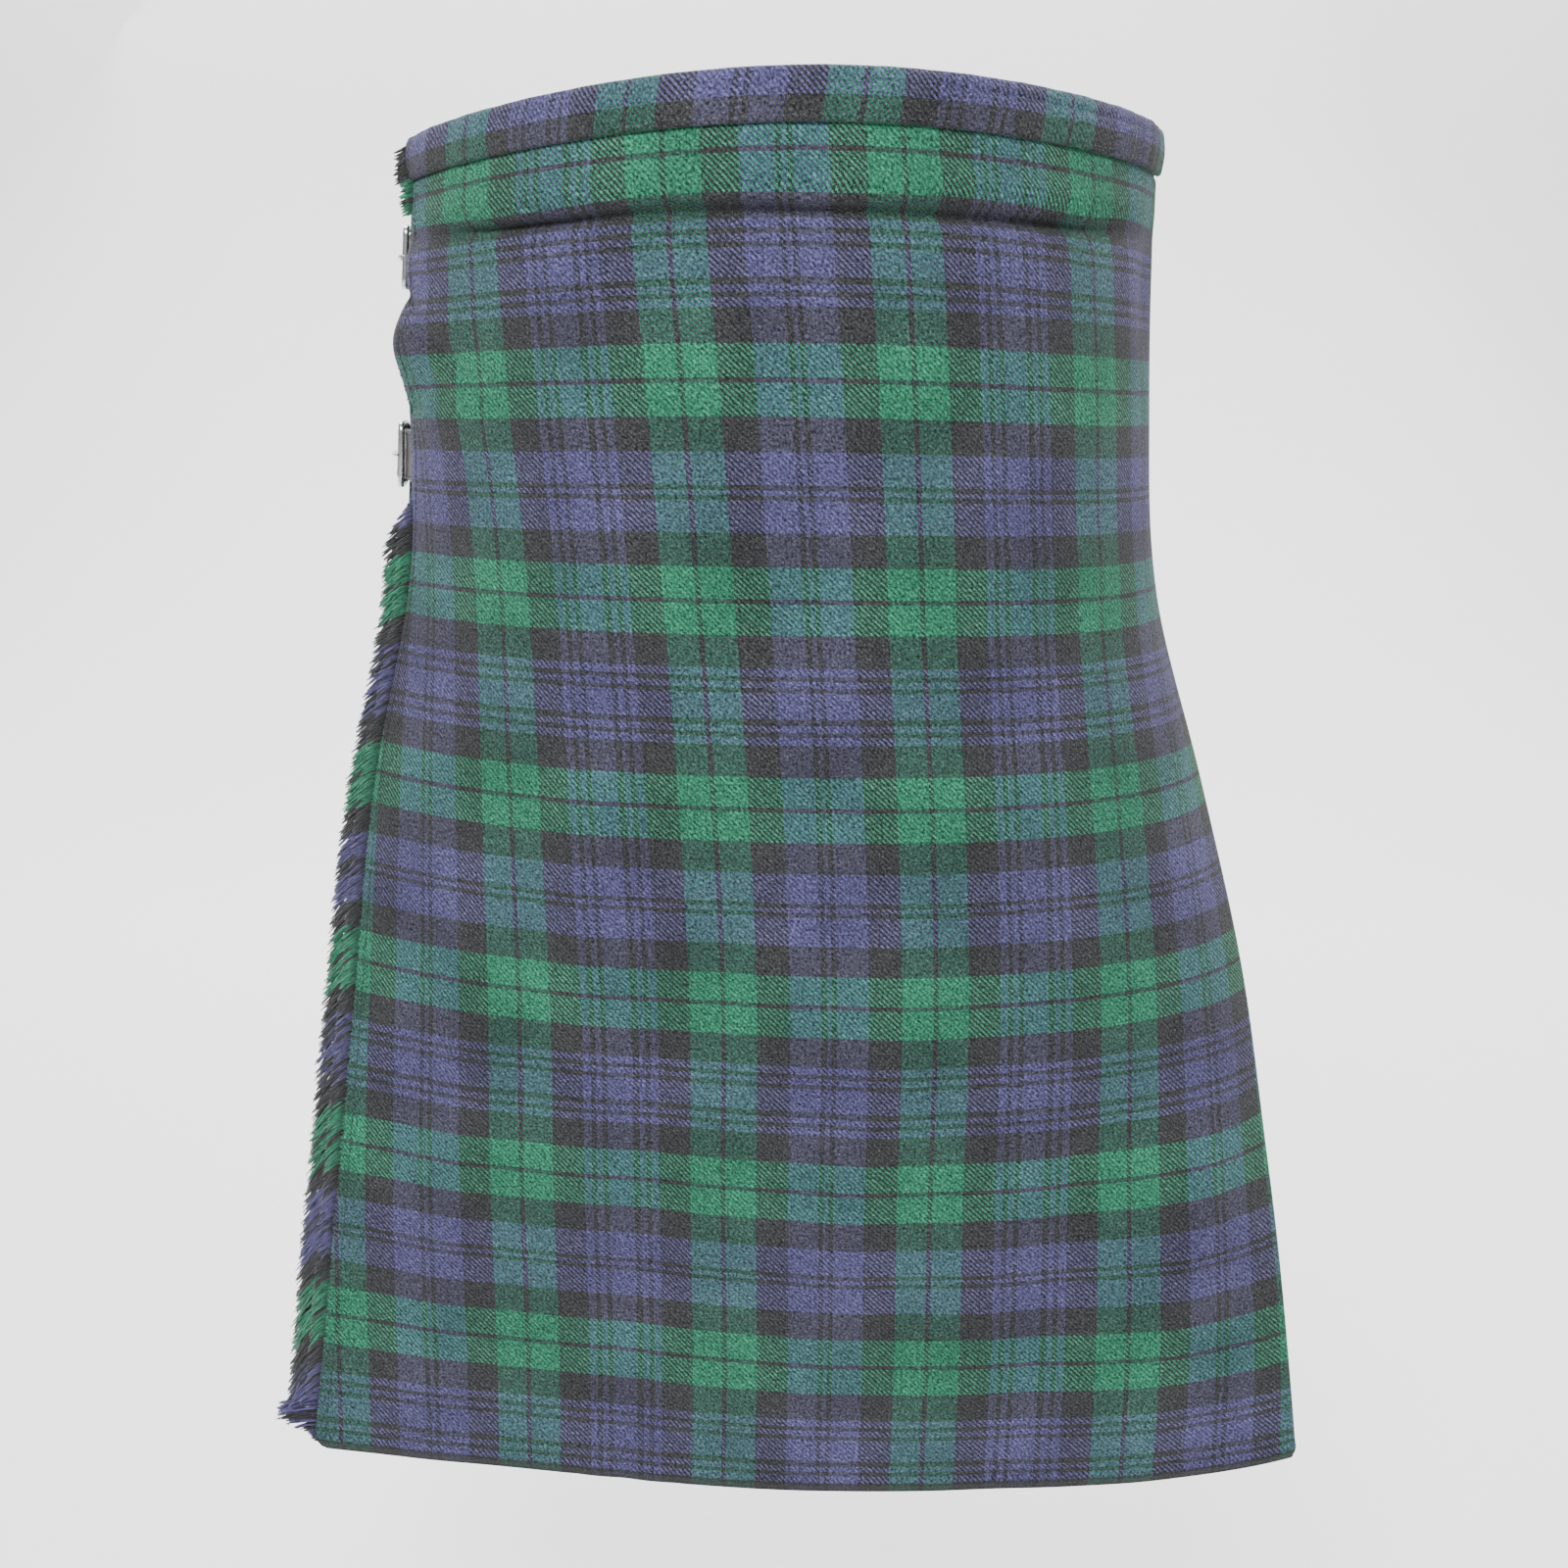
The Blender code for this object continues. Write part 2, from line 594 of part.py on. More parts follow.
def strap_rows(which):
    shift = strap_shift(which)
    stations = []
    if shift:
        hidden = -Level(STRAP_DROPS[which]).under_end
        stations += [UNDER_STRAP_SEWN * share for share in UNDER_SEWN_SHARES]
        stations += [UNDER_STRAP_SEWN + hidden * share for share in UNDER_HIDDEN_SHARES]
    rows = [[], []]
    for place in stations:
        past_sewing = place - UNDER_SEWN_SHARES[-1] * UNDER_STRAP_SEWN
        behind = smooth_share(past_sewing / UNDER_STRAP_SINK_RUN)
        lift = STRAP_WALL / 2 + STRAP_GAP - behind * UNDER_STRAP_SINK
        for side, row in zip((-1, 1), rows):
            row.append(strap_place(which, place, side * STRAP_WIDTH / 2, lift))
    for along in STRAP_STATIONS[FIRST_FREE_STATION if shift else 0:]:
        narrow = max(0.0, (along - STRAP_LENGTH + STRAP_TAPER) / STRAP_TAPER)
        half = STRAP_WIDTH / 2 * (1 - narrow) + STRAP_TIP / 2 * narrow
        lift = strap_lift(along) + STRAP_WALL / 2
        for side, row in zip((-1, 1), rows):
            row.append(strap_place(which, shift + along, side * half, lift))
    return rows


def tab_rows(which):
    shift = strap_shift(which)
    lift = STRAP_GAP + TAB_WALL / 2
    stations = np.linspace(shift + TAB_START, shift + TAB_END, 5)
    half = TAB_WIDTH / 2
    return [[strap_place(which, along, side * half, lift) for along in stations] for side in (-1, 1)]


def frame_points(which):
    """Centre line of the square frame, with its corners cut twice."""
    shift = strap_shift(which)
    front_lift = STRAP_GAP + STRAP_WALL + STRAP_GAP + BAR_RADIUS
    heel_lift = TAB_WALL + BAR_RADIUS
    bars = (
        (FRONT_BAR, -1, front_lift), (HEEL_BAR, -1, heel_lift), (HEEL_BAR, 1, heel_lift),
        (FRONT_BAR, 1, front_lift),
    )
    half = FRAME_HALF_HEIGHT
    corners = [strap_place(which, shift + along, side * half, lift) for along, side, lift in bars]
    points = []
    for i, corner in enumerate(corners):
        before, after = corners[i - 1], corners[(i + 1) % 4]
        cut_before = corner + (before - corner) * FRAME_CORNER / 2
        cut_after = corner + (after - corner) * FRAME_CORNER / 2
        points.append(cut_before)
        points.append((cut_before + cut_after + 2 * corner) / 4)
        points.append(cut_after)
    return points


def prong_points(which):
    shift = strap_shift(which)
    strap_top = strap_lift(HEEL_BAR) + STRAP_WALL + SEAM + PRONG_RADIUS
    bar_top = STRAP_GAP + STRAP_WALL + STRAP_GAP + 2 * BAR_RADIUS + 3 * SEAM + PRONG_RADIUS
    places = (
        (HEEL_BAR - PRONG_HEEL_REACH, strap_top),
        ((HEEL_BAR + FRONT_BAR) / 2, bar_top + PRONG_ARCH),
        (FRONT_BAR, bar_top),
        (FRONT_BAR - PRONG_TIP_REACH, bar_top - PRONG_TIP_DIP),
    )
    return [strap_place(which, shift + along, 0.0, lift) for along, lift in places]


def add_tube(collection, name, points, radius, closed, finish, parent):
    curve = bpy.data.curves.new(name, "CURVE")
    curve.dimensions = "3D"
    curve.bevel_depth = radius
    curve.bevel_resolution = 2
    curve.use_fill_caps = not closed
    spline = curve.splines.new("POLY")
    spline.points.add(len(points) - 1)
    for target, point in zip(spline.points, points):
        target.co = (*point, 1.0)
    spline.use_cyclic_u = closed
    return add_object(collection, name, curve, finish, parent)


def cut_slit(cutters, pleats, parent):
    """The slot in the deep pleat that the under apron's strap passes through."""
    level = Level(STRAP_DROPS["under"])
    x, y, z = level.on_body(level.inner_fold_arc, 0.0)
    ahead = level.body.angle_of(level.inner_fold_arc)
    bpy.ops.mesh.primitive_cube_add(size=1.0, location=(x, y, z))
    cutter = bpy.context.object
    cutter.name = "strap_slit_cutter"
    for vert in cutter.data.vertices:
        vert.co.x *= SLIT_WIDTH
        vert.co.y *= SLIT_DEPTH
        vert.co.z *= SLIT_HEIGHT
    cutter.rotation_euler = (0.0, 0.0, ahead)
    cutter.hide_render = True
    cutter.display_type = "WIRE"
    cutter.parent = parent
    for owner in cutter.users_collection:
        owner.objects.unlink(cutter)
    cutters.objects.link(cutter)
    cut = pleats.modifiers.new("strap_slit", "BOOLEAN")
    cut.operation = "DIFFERENCE"
    cut.object = cutter


def clear_scene():
    for item in list(bpy.data.objects):
        bpy.data.objects.remove(item, do_unlink=True)


def build():
    clear_scene()
    kilt = bpy.data.collections.new(KILT_NAME)
    cutters = bpy.data.collections.new("cutters")
    bpy.context.scene.collection.children.link(kilt)
    bpy.context.scene.collection.children.link(cutters)
    root = bpy.data.objects.new("waist_centre", None)
    kilt.objects.link(root)
    levels = [Level(drop) for drop in LEVELS]
    add_sheet(kilt, "over_apron", [over_apron_row(level) for level in levels], APRON_WALL, "tartan", root)
    add_sheet(kilt, "under_apron", [under_apron_row(level) for level in levels], APRON_WALL, "tartan", root)
    pleats = add_sheet(
        kilt, "pleated_back", [pleated_back_row(level) for level in levels], PLEAT_WALL, "tartan", root
    )
    cut_slit(cutters, pleats, root)
    add_sheet(kilt, "band_front", band_front_rows(), BAND_WALL, "tartan", root)
    add_sheet(kilt, "band_back", band_back_rows(), BAND_WALL, "tartan", root)
    add_sheet(kilt, "band_under", band_under_rows(), BAND_WALL, "tartan", root)
    add_fringe(kilt, "apron_fringe", root)
    for which in STRAP_DROPS:
        add_sheet(kilt, f"strap_{which}", strap_rows(which), STRAP_WALL, "leather", root)
        add_sheet(kilt, f"tab_{which}", tab_rows(which), TAB_WALL, "leather", root)
        add_tube(kilt, f"buckle_{which}", frame_points(which), BAR_RADIUS, True, "steel", root)
        add_tube(kilt, f"prong_{which}", prong_points(which), PRONG_RADIUS, False, "steel", root)


build()
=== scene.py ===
"""Looks of the worn kilt: fine tartan cloth, loose fringe, leather straps and buckles round the fixed frame.

Metres, in the part's own frame. The front faces -Y and the wearer's right is -X. As in the part's source,
a place on the cloth is a drop (distance down from the top edge), an arc along the section there and a
distance out from the section's outline.
"""

import math
from functools import lru_cache

import bpy
import numpy as np
from mathutils import Matrix, Vector

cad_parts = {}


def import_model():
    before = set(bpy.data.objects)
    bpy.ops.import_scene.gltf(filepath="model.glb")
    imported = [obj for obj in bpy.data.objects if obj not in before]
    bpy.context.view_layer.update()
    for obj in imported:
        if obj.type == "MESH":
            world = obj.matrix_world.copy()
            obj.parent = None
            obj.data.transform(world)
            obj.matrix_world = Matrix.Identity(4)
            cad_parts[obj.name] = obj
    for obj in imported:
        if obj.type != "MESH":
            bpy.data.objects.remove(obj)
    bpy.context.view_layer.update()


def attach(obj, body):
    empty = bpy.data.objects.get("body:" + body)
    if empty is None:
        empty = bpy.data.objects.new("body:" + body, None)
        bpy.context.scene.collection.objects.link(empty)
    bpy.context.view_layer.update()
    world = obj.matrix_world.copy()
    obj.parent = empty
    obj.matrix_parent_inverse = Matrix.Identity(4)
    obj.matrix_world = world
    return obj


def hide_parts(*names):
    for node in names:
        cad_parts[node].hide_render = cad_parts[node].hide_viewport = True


# The camera, fitted to the lines of the check in the photo
CAMERA_PLACE = (0.0053, -0.821, -0.083)
CAMERA_TILT = math.radians(16.39)
CAMERA_ROLL = math.radians(0.90)
CAMERA_LENS = 38.25
SENSOR = 36.0

# Section tables, as in the part's source
LENGTH = 0.630
APRON_COLUMNS = (
    "drop", "half_width", "depth", "power", "shift_x", "shift_y", "turn", "side_drop", "fringe_arc",
    "fold_arc",
)
APRON_ROWS = (
    (0.000, 0.1722, 0.131, 1.80, 0.001, -0.010, 5.5, 0.017, -0.201, 0.206),
    (0.030, 0.1722, 0.131, 1.83, 0.000, -0.010, 4.2, 0.015, -0.197, 0.210),
    (0.120, 0.1767, 0.131, 1.92, -0.002, -0.009, 0.6, 0.010, -0.189, 0.229),
    (0.210, 0.1885, 0.133, 1.82, -0.004, -0.007, -3.3, 0.009, -0.185, 0.246),
    (0.300, 0.2245, 0.137, 1.86, -0.0105, -0.003, -5.2, 0.007, -0.181, 0.265),
    (0.390, 0.2650, 0.142, 2.06, -0.018, 0.003, -6.0, 0.003, -0.171, 0.282),
    (0.480, 0.3090, 0.150, 2.38, -0.030, 0.010, -6.3, -0.003, -0.161, 0.298),
    (0.570, 0.3600, 0.157, 3.00, -0.043, 0.016, -5.6, -0.010, -0.156, 0.312),
    (0.630, 0.3950, 0.162, 3.40, -0.053, 0.020, -5.0, -0.014, -0.155, 0.325),
)
BODY_COLUMNS = ("drop", "side", "shift_x", "front", "back", "power", "corner")
BODY_ROWS = (
    (0.000, 0.179, 0.000, 0.200, 0.123, 2.2, 0.012),
    (0.120, 0.184, 0.000, 0.200, 0.134, 2.2, 0.012),
    (0.210, 0.192, 0.001, 0.200, 0.143, 2.2, 0.014),
    (0.300, 0.203, 0.003, 0.205, 0.149, 2.3, 0.020),
    (0.390, 0.217, 0.005, 0.210, 0.157, 2.4, 0.026),
    (0.480, 0.231, 0.008, 0.215, 0.166, 2.6, 0.030),
    (0.570, 0.243, 0.011, 0.220, 0.176, 2.8, 0.032),
    (0.630, 0.251, 0.013, 0.222, 0.182, 3.0, 0.034),
)
HOLLOW_COLUMNS = ("drop", "arc", "half_height", "half_arc", "depth")
HOLLOW_ROWS = (
    (0.049, -0.060, 0.010, 0.090, 0.0030),
    (0.049, 0.110, 0.010, 0.060, 0.0030),
    (0.097, -0.200, 0.020, 0.045, -0.0095),
)
FOLD_COLUMNS = ("drop", "layer", "past_fringe")
FOLD_ROWS = (
    (0.000, 0.0019, 0.012),
    (0.210, 0.0020, 0.011),
    (0.400, 0.0030, 0.009),
    (0.630, 0.0045, 0.007),
)
LEAN_COLUMNS = ("drop", "lean", "pivot")
LEAN_ROWS = (
    (0.000, 0.045, 0.000),
    (0.030, 0.032, 0.000),
    (0.120, 0.006, 0.000),
    (0.210, 0.000, 0.000),
    (0.480, 0.000, 0.150),
    (0.570, 0.005, 0.150),
    (0.630, 0.028, 0.150),
)
APRON_BACK_SPARE = 0.028
LAYER_STEP = 0.006
SIDE_SHARE = 1.3
BACK_SHARE = 0.8
HIP_ANGLE = math.radians(120)
SEAM = 0.0003
APRON_WALL = 0.0016
PLEAT_WALL = 0.0012
BAND_WALL = 0.0013
STRAP_WALL = 0.0018
TAB_WALL = 0.0015
APRON_FOLD_SPARE = 0.0003
APRON_RETURN = 0.030
FOLD_ROOM = 0.95
UNDER_END_GAP = 0.008
PLEATS = 24
PLEAT_CLOTH = 0.056
FELL = 0.210
SWAY = 0.16
SWAY_TURN = 2.4
BAND_HEIGHT = 0.019
BAND_INSIDE = 0.015
BAND_TUCK = 0.004
UNDER_BAND_TOP = 0.0175
STRAP_WIDTH = 0.024
STRAP_TIP = 0.009
STRAP_SEWN = 0.020
STRAP_GAP = 0.0005
STRAP_LENGTH = 0.138
STRAP_TAPER = 0.012
FRONT_BAR = 0.049
HEEL_BAR = 0.071
TAB_START = 0.0755
TAB_END = 0.112
TAB_WIDTH = 0.021
BAR_RADIUS = 0.0014
FRAME_HALF_HEIGHT = 0.0146
STRAP_DROPS = {"waist": 0.052, "hip": 0.148, "under": 0.052}
UNDER_STRAP_SEWN = 0.020
UNDER_STRAP_SINK = 0.0012

# The check. Threads of each colour from the middle of one green pair, over a full sett; the two kinds
# of blue square alternate, both across the cloth and down it.
HALF_SETT_ACROSS = 0.0947
HALF_SETT_DOWN = 0.0893
FIRST_PAIR_DROP = 0.029
GREEN_EDGE = (("green", 15.6), ("black", 1.4))
LINED_BLUE = (
    ("blue", 4), ("black", 2.5), ("blue", 3.5), ("black", 2.5), ("blue", 13), ("black", 2.5), ("blue", 3.5),
    ("black", 2.5), ("blue", 4),
)
SPLIT_BLUE = (("blue", 15), ("black", 2.8), ("blue", 2.4), ("black", 2.8), ("blue", 15))
WIDE_BLACK = (("black", 16),)
SETT = (
    GREEN_EDGE[::-1] + WIDE_BLACK + LINED_BLUE + WIDE_BLACK + GREEN_EDGE
    + GREEN_EDGE[::-1] + WIDE_BLACK + SPLIT_BLUE + WIDE_BLACK + GREEN_EDGE
)
THREAD_COLOURS = {
    "green": (0.020, 0.160, 0.088),
    "blue": (0.068, 0.062, 0.152),
    "black": (0.029, 0.030, 0.032),
}
# Threads lie four to a step of the twill
TWILL_STEP = 0.00245

# Where the cloth's own threads lie at each drop of the over apron: half setts from pair B at the mark
THREAD_COLUMNS = ("drop", "pairs")
THREAD_ROWS = (
    (0.00, 0.65), (0.03, 0.59), (0.12, 0.40), (0.21, 0.21), (0.30, 0.02), (0.39, -0.13), (0.48, -0.28),
    (0.57, -0.42), (0.63, -0.51),
)

TURNS = np.linspace(-math.pi, 3 * math.pi, 1441)
CLOTH_THICKNESS = 0.0011
THIN_CLOTH = 0.0010
ROW_STEP = 0.003


class Table:
    """Rows of named sizes at rising drops, read between rows along smooth curves."""

    def __init__(self, columns, rows):
        self.values = {name: np.array([row[i] for row in rows]) for i, name in enumerate(columns)}
        self.drops = self.values["drop"]

    def at(self, name, drop):
        knots, values = self.drops, self.values[name]
        slopes = np.gradient(values, knots)
        i = np.clip(np.searchsorted(knots, drop) - 1, 0, len(knots) - 2)
        span = knots[i + 1] - knots[i]
        t = (drop - knots[i]) / span
        level = values[i] * (1 + 2 * t) * (1 - t) ** 2 + values[i + 1] * t * t * (3 - 2 * t)
        return level + span * (slopes[i] * t * (1 - t) ** 2 - slopes[i + 1] * t * t * (1 - t))


APRON = Table(APRON_COLUMNS, APRON_ROWS)
BODY = Table(BODY_COLUMNS, BODY_ROWS)
FOLDS = Table(FOLD_COLUMNS, FOLD_ROWS)
LEANS = Table(LEAN_COLUMNS, LEAN_ROWS)
THREADS = Table(THREAD_COLUMNS, THREAD_ROWS)


class Outline:
    """A closed section outline, stored by the angle from the front (-Y) towards +X, over two turns."""

    def __init__(self, x, y, zero_angle):
        angle = np.arctan2(x, -y)
        order = np.argsort(angle)
        self.radius = np.interp(TURNS, angle[order], np.hypot(x, y)[order], period=2 * math.pi)
        self.x = self.radius * np.sin(TURNS)
        self.y = -self.radius * np.cos(TURNS)
        dx, dy = np.gradient(self.x), np.gradient(self.y)
        size = np.hypot(dx, dy)
        self.out_x, self.out_y = dy / size, -dx / size
        steps = np.hypot(np.diff(self.x), np.diff(self.y))
        self.arc = np.concatenate([[0.0], np.cumsum(steps)])
        self.arc -= np.interp(zero_angle, TURNS, self.arc)

    def arc_of(self, angle):
        return np.interp(angle, TURNS, self.arc)

    def angle_of(self, arc):
        return np.interp(arc, self.arc, TURNS)

    def at(self, arc):
        """Places and outward directions."""
        place = np.stack([np.interp(arc, self.arc, self.x), np.interp(arc, self.arc, self.y)], -1)
        out = np.stack([np.interp(arc, self.arc, self.out_x), np.interp(arc, self.arc, self.out_y)], -1)
        return place, out / np.linalg.norm(out, axis=-1, keepdims=True)


def rounded_oval(half_width, front, back, power, count=720):
    turn = np.linspace(-math.pi, math.pi, count, endpoint=False)
    across, ahead = np.sin(turn), np.cos(turn)
    x = half_width * np.sign(across) * np.abs(across) ** (2 / power)
    reach = np.where(ahead > 0, front, back)
    y = -reach * np.sign(ahead) * np.abs(ahead) ** (2 / power)
    return x, y


def soft_least(a, b, reach):
    near = np.clip(1 - np.abs(a - b) / reach, 0, 1)
    return np.minimum(a, b) - near ** 2 * reach / 4


def hollow_depth(drop, arc):
    depth = 0.0
    for row in HOLLOW_ROWS:
        hollow = dict(zip(HOLLOW_COLUMNS, row))
        up = (drop - hollow["drop"]) / hollow["half_height"]
        along = (arc - hollow["arc"]) / hollow["half_arc"]
        depth = depth + hollow["depth"] * np.exp(-up ** 2 - along ** 2)
    return depth


@lru_cache(maxsize=None)
def apron_outline(drop):
    depth = APRON.at("depth", drop)
    back = BODY.at("back", drop) + APRON_BACK_SPARE
    x, y = rounded_oval(APRON.at("half_width", drop), depth, back, APRON.at("power", drop))
    turn = math.radians(APRON.at("turn", drop))
    shift_x, shift_y = APRON.at("shift_x", drop), APRON.at("shift_y", drop)
    mark = math.atan2(shift_x + math.sin(turn) * depth, math.cos(turn) * depth - shift_y)
    turned_x = shift_x + math.cos(turn) * x - math.sin(turn) * y
    turned_y = shift_y + math.sin(turn) * x + math.cos(turn) * y
    smooth = Outline(turned_x, turned_y, mark)
    around = smooth.arc_of(math.pi) - smooth.arc_of(-math.pi)
    inward = hollow_depth(drop, (smooth.arc + around / 2) % around - around / 2)
    return Outline(smooth.x - inward * smooth.out_x, smooth.y - inward * smooth.out_y, mark)


@lru_cache(maxsize=None)
def body_outline(drop):
    apron = apron_outline(drop)
    inner = Outline(apron.x - LAYER_STEP * apron.out_x, apron.y - LAYER_STEP * apron.out_y, 0.0)
    x, y = rounded_oval(
        BODY.at("side", drop), BODY.at("front", drop), BODY.at("back", drop), BODY.at("power", drop)
    )
    figure = Outline(x + BODY.at("shift_x", drop), y, 0.0)
    radius = soft_least(inner.radius, figure.radius, BODY.at("corner", drop))
    fold_angle = apron.angle_of(APRON.at("fold_arc", drop))
    return Outline(radius * np.sin(TURNS), -radius * np.cos(TURNS), fold_angle)


def drop_share(angle):
    angle = np.abs((angle + math.pi) % (2 * math.pi) - math.pi)
    ahead = SIDE_SHARE * (1 - np.cos(math.pi * angle / HIP_ANGLE)) / 2
    past = (angle - HIP_ANGLE) / (math.pi - HIP_ANGLE)
    behind = BACK_SHARE + (SIDE_SHARE - BACK_SHARE) * (1 + np.cos(math.pi * past)) / 2
    return np.where(angle < HIP_ANGLE, ahead, behind)


class Surface:
    """An outline's places at close drops and arcs, read between them in straight lines."""

    def __init__(self, outline_at, first_arc, last_arc, arc_step=0.0015):
        self.drops = np.linspace(0.0, LENGTH, round(LENGTH / ROW_STEP) + 1)
        self.arcs = np.linspace(first_arc, last_arc, round((last_arc - first_arc) / arc_step) + 1)
        found = [outline_at(float(drop)).at(self.arcs) for drop in self.drops]
        self.places = np.array([place for place, out in found])
        self.outs = np.array([out for place, out in found])

    def at(self, drop, arc, out=0.0):
        drop, arc, out = np.broadcast_arrays(np.asarray(drop, float), arc, out)
        inside = np.clip(drop, 0.0, LENGTH)
        row = inside / (self.drops[1] - self.drops[0])
        column = (arc - self.arcs[0]) / (self.arcs[1] - self.arcs[0])
        i = np.clip(row.astype(int), 0, len(self.drops) - 2)
        j = np.clip(column.astype(int), 0, len(self.arcs) - 2)
        s, t = (row - i)[..., None], (column - j)[..., None]

        def read(grid):
            upper = grid[i, j] * (1 - t) + grid[i, j + 1] * t
            lower = grid[i + 1, j] * (1 - t) + grid[i + 1, j + 1] * t
            return upper * (1 - s) + lower * s

        place = read(self.places) + out[..., None] * read(self.outs)
        share = drop_share(np.arctan2(place[..., 0], -place[..., 1]))
        lean = LEANS.at("lean", inside) * (place[..., 0] - LEANS.at("pivot", inside))
        height = lean - (drop + APRON.at("side_drop", inside) * share)
        return np.concatenate([place, height[..., None]], -1)


class Level:
    """The places that the panels share at one drop, as arcs."""

    def __init__(self, drop):
        self.drop = drop
        apron, body = apron_outline(drop), body_outline(drop)
        self.fringe_arc = float(APRON.at("fringe_arc", drop))
        self.fold_arc = float(APRON.at("fold_arc", drop))
        self.layer = float(FOLDS.at("layer", drop))
        self.apron_layer = self.layer + APRON_FOLD_SPARE
        seam_angle = apron.angle_of(self.fringe_arc - FOLDS.at("past_fringe", drop))
        self.under_seam = float(body.arc_of(seam_angle))
        self.back_seam = float(body.arc_of(seam_angle + 2 * math.pi))
        return_angle = apron.angle_of(self.fold_arc - APRON_RETURN - SEAM - PLEAT_WALL / 2)
        self.inner_fold_arc = float(body.arc_of(return_angle))
        self.edge_arc = float(body.arc_of(apron.angle_of(self.fringe_arc)))
        self.under_end = self.inner_fold_arc - UNDER_END_GAP
        self.under_fold = self.under_seam + SEAM / 2 + FOLD_ROOM * APRON_WALL
        self.under_face_end = self.under_fold + self.apron_layer / 2


@lru_cache(maxsize=None)
def level_at(drop):
    return Level(drop)


def pleat_edges(level):
    share = np.arange(PLEATS + 1) / PLEATS
    free = max(0.0, (level.drop - FELL) / (LENGTH - FELL))
    sway = SWAY * free ** 2 / PLEATS * np.sin(SWAY_TURN * np.arange(PLEATS + 1))
    sway[0] = sway[-1] = 0.0
    edges = level.back_seam * (share + sway)
    edges[-1] -= (SEAM + PLEAT_WALL) / 2
    return edges


def smooth_share(value):
    value = np.clip(value, 0.0, 1.0)
    return value * value * (3 - 2 * value)


# Mesh making


def grid_faces(rows, columns, closed=False):
    i, j = np.meshgrid(np.arange(rows - 1), np.arange(columns if closed else columns - 1), indexing="ij")
    after = (j + 1) % columns
    row, next_row = i * columns, (i + 1) * columns
    faces = np.stack([row + j, row + after, next_row + after, next_row + j], -1)
    return faces.reshape(-1, 4)


def new_piece(name, points, faces, material, cloth=None):
    """A smooth mesh that rides on the frame. cloth holds each point's place across and down the cloth."""
    mesh = bpy.data.meshes.new(name)
    corners = faces.tolist() if isinstance(faces, np.ndarray) else faces
    mesh.from_pydata(np.asarray(points, float).reshape(-1, 3).tolist(), [], corners)
    mesh.shade_smooth()
    if cloth is not None:
        values = np.zeros((len(mesh.vertices), 3), np.float32)
        values[:, :cloth.shape[-1]] = cloth.reshape(-1, cloth.shape[-1])
        mesh.attributes.new("cloth", "FLOAT_VECTOR", "POINT").data.foreach_set("vector", values.ravel())
    mesh.materials.append(material)
    piece = bpy.data.objects.new(name, mesh)
    bpy.context.scene.collection.objects.link(piece)
    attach(piece, "root")
    return piece


def thicken(piece, wall):
    solid = piece.modifiers.new("wall", "SOLIDIFY")
    solid.thickness = wall
    solid.offset = 0.0
    solid.use_even_offset = False
    solid.use_quality_normals = True


def cloth_piece(name, points, cloth, material, wall):
    """A sheet of cloth that replaces the solid of the same name."""
    rows, columns = points.shape[:2]
    piece = new_piece("cloth_" + name, points, grid_faces(rows, columns), material, cloth)
    thicken(piece, wall)
    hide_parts(name)
    return piece


def sweep_rings(rings):
    """Points and faces of a closed tube through rings of points, with its ends closed by fans."""
    rings = np.asarray(rings)
    count, sides = rings.shape[:2]
    points = np.concatenate([rings.reshape(-1, 3), rings[:1].mean(1), rings[-1:].mean(1)])
    faces = grid_faces(count, sides, closed=True).tolist()
    first, last = count * sides, count * sides + 1
    for k in range(sides):
        after = (k + 1) % sides
        faces.append((first, after, k))
        faces.append((last, (count - 1) * sides + k, (count - 1) * sides + after))
    return points, faces


def join_parts(parts):
    """One list of points and one of faces from several."""
    points, faces, start = [], [], 0
    for part_points, part_faces in parts:
        points.append(np.asarray(part_points))
        faces.extend([tuple(start + k for k in face) for face in part_faces])
        start += len(part_points)
    return np.concatenate(points), faces


def tube(path, radius, sides):
    """Points and faces of a round tube along a path. radius may vary along it."""
    path = np.asarray(path, float)
    along = np.gradient(path, axis=0)
    along /= np.linalg.norm(along, axis=1, keepdims=True)
    side = np.cross(along, (0.13, 0.07, 1.0))
    side /= np.linalg.norm(side, axis=1, keepdims=True)
    other = np.cross(along, side)
    turn = np.arange(sides) * 2 * math.pi / sides
    radius = np.broadcast_to(radius, len(path))[:, None, None]
    ring = np.cos(turn)[None, :, None] * side[:, None] + np.sin(turn)[None, :, None] * other[:, None]
    return sweep_rings(path[:, None] + radius * ring)


# Materials


def new_material(name):
    material = bpy.data.materials.new(name)
    material.use_nodes = True
    tree = material.node_tree
    return material, tree, tree.nodes["Principled BSDF"]


def math_node(tree, operation, *values):
    node = tree.nodes.new("ShaderNodeMath")
    node.operation = operation
    for socket, value in zip(node.inputs, values):
        if isinstance(value, (int, float)):
            socket.default_value = value
        else:
            tree.links.new(value, socket)
    return node.outputs[0]


def mix_colours(tree, share, first, second, blend="MIX"):
    node = tree.nodes.new("ShaderNodeMix")
    node.data_type = "RGBA"
    node.blend_type = blend
    sockets = (node.inputs["Factor"], node.inputs["A"], node.inputs["B"])
    for socket, value in zip(sockets, (share, first, second)):
        if isinstance(value, bpy.types.NodeSocket):
            tree.links.new(value, socket)
        elif isinstance(value, tuple):
            socket.default_value = (*value, 1.0)
        else:
            socket.default_value = value
    return node.outputs["Result"]


def noise_node(tree, vector, scale, detail=2.0, roughness=0.5):
    node = tree.nodes.new("ShaderNodeTexNoise")
    node.inputs["Scale"].default_value = scale
    node.inputs["Detail"].default_value = detail
    node.inputs["Roughness"].default_value = roughness
    tree.links.new(vector, node.inputs["Vector"])
    return node.outputs["Fac"]


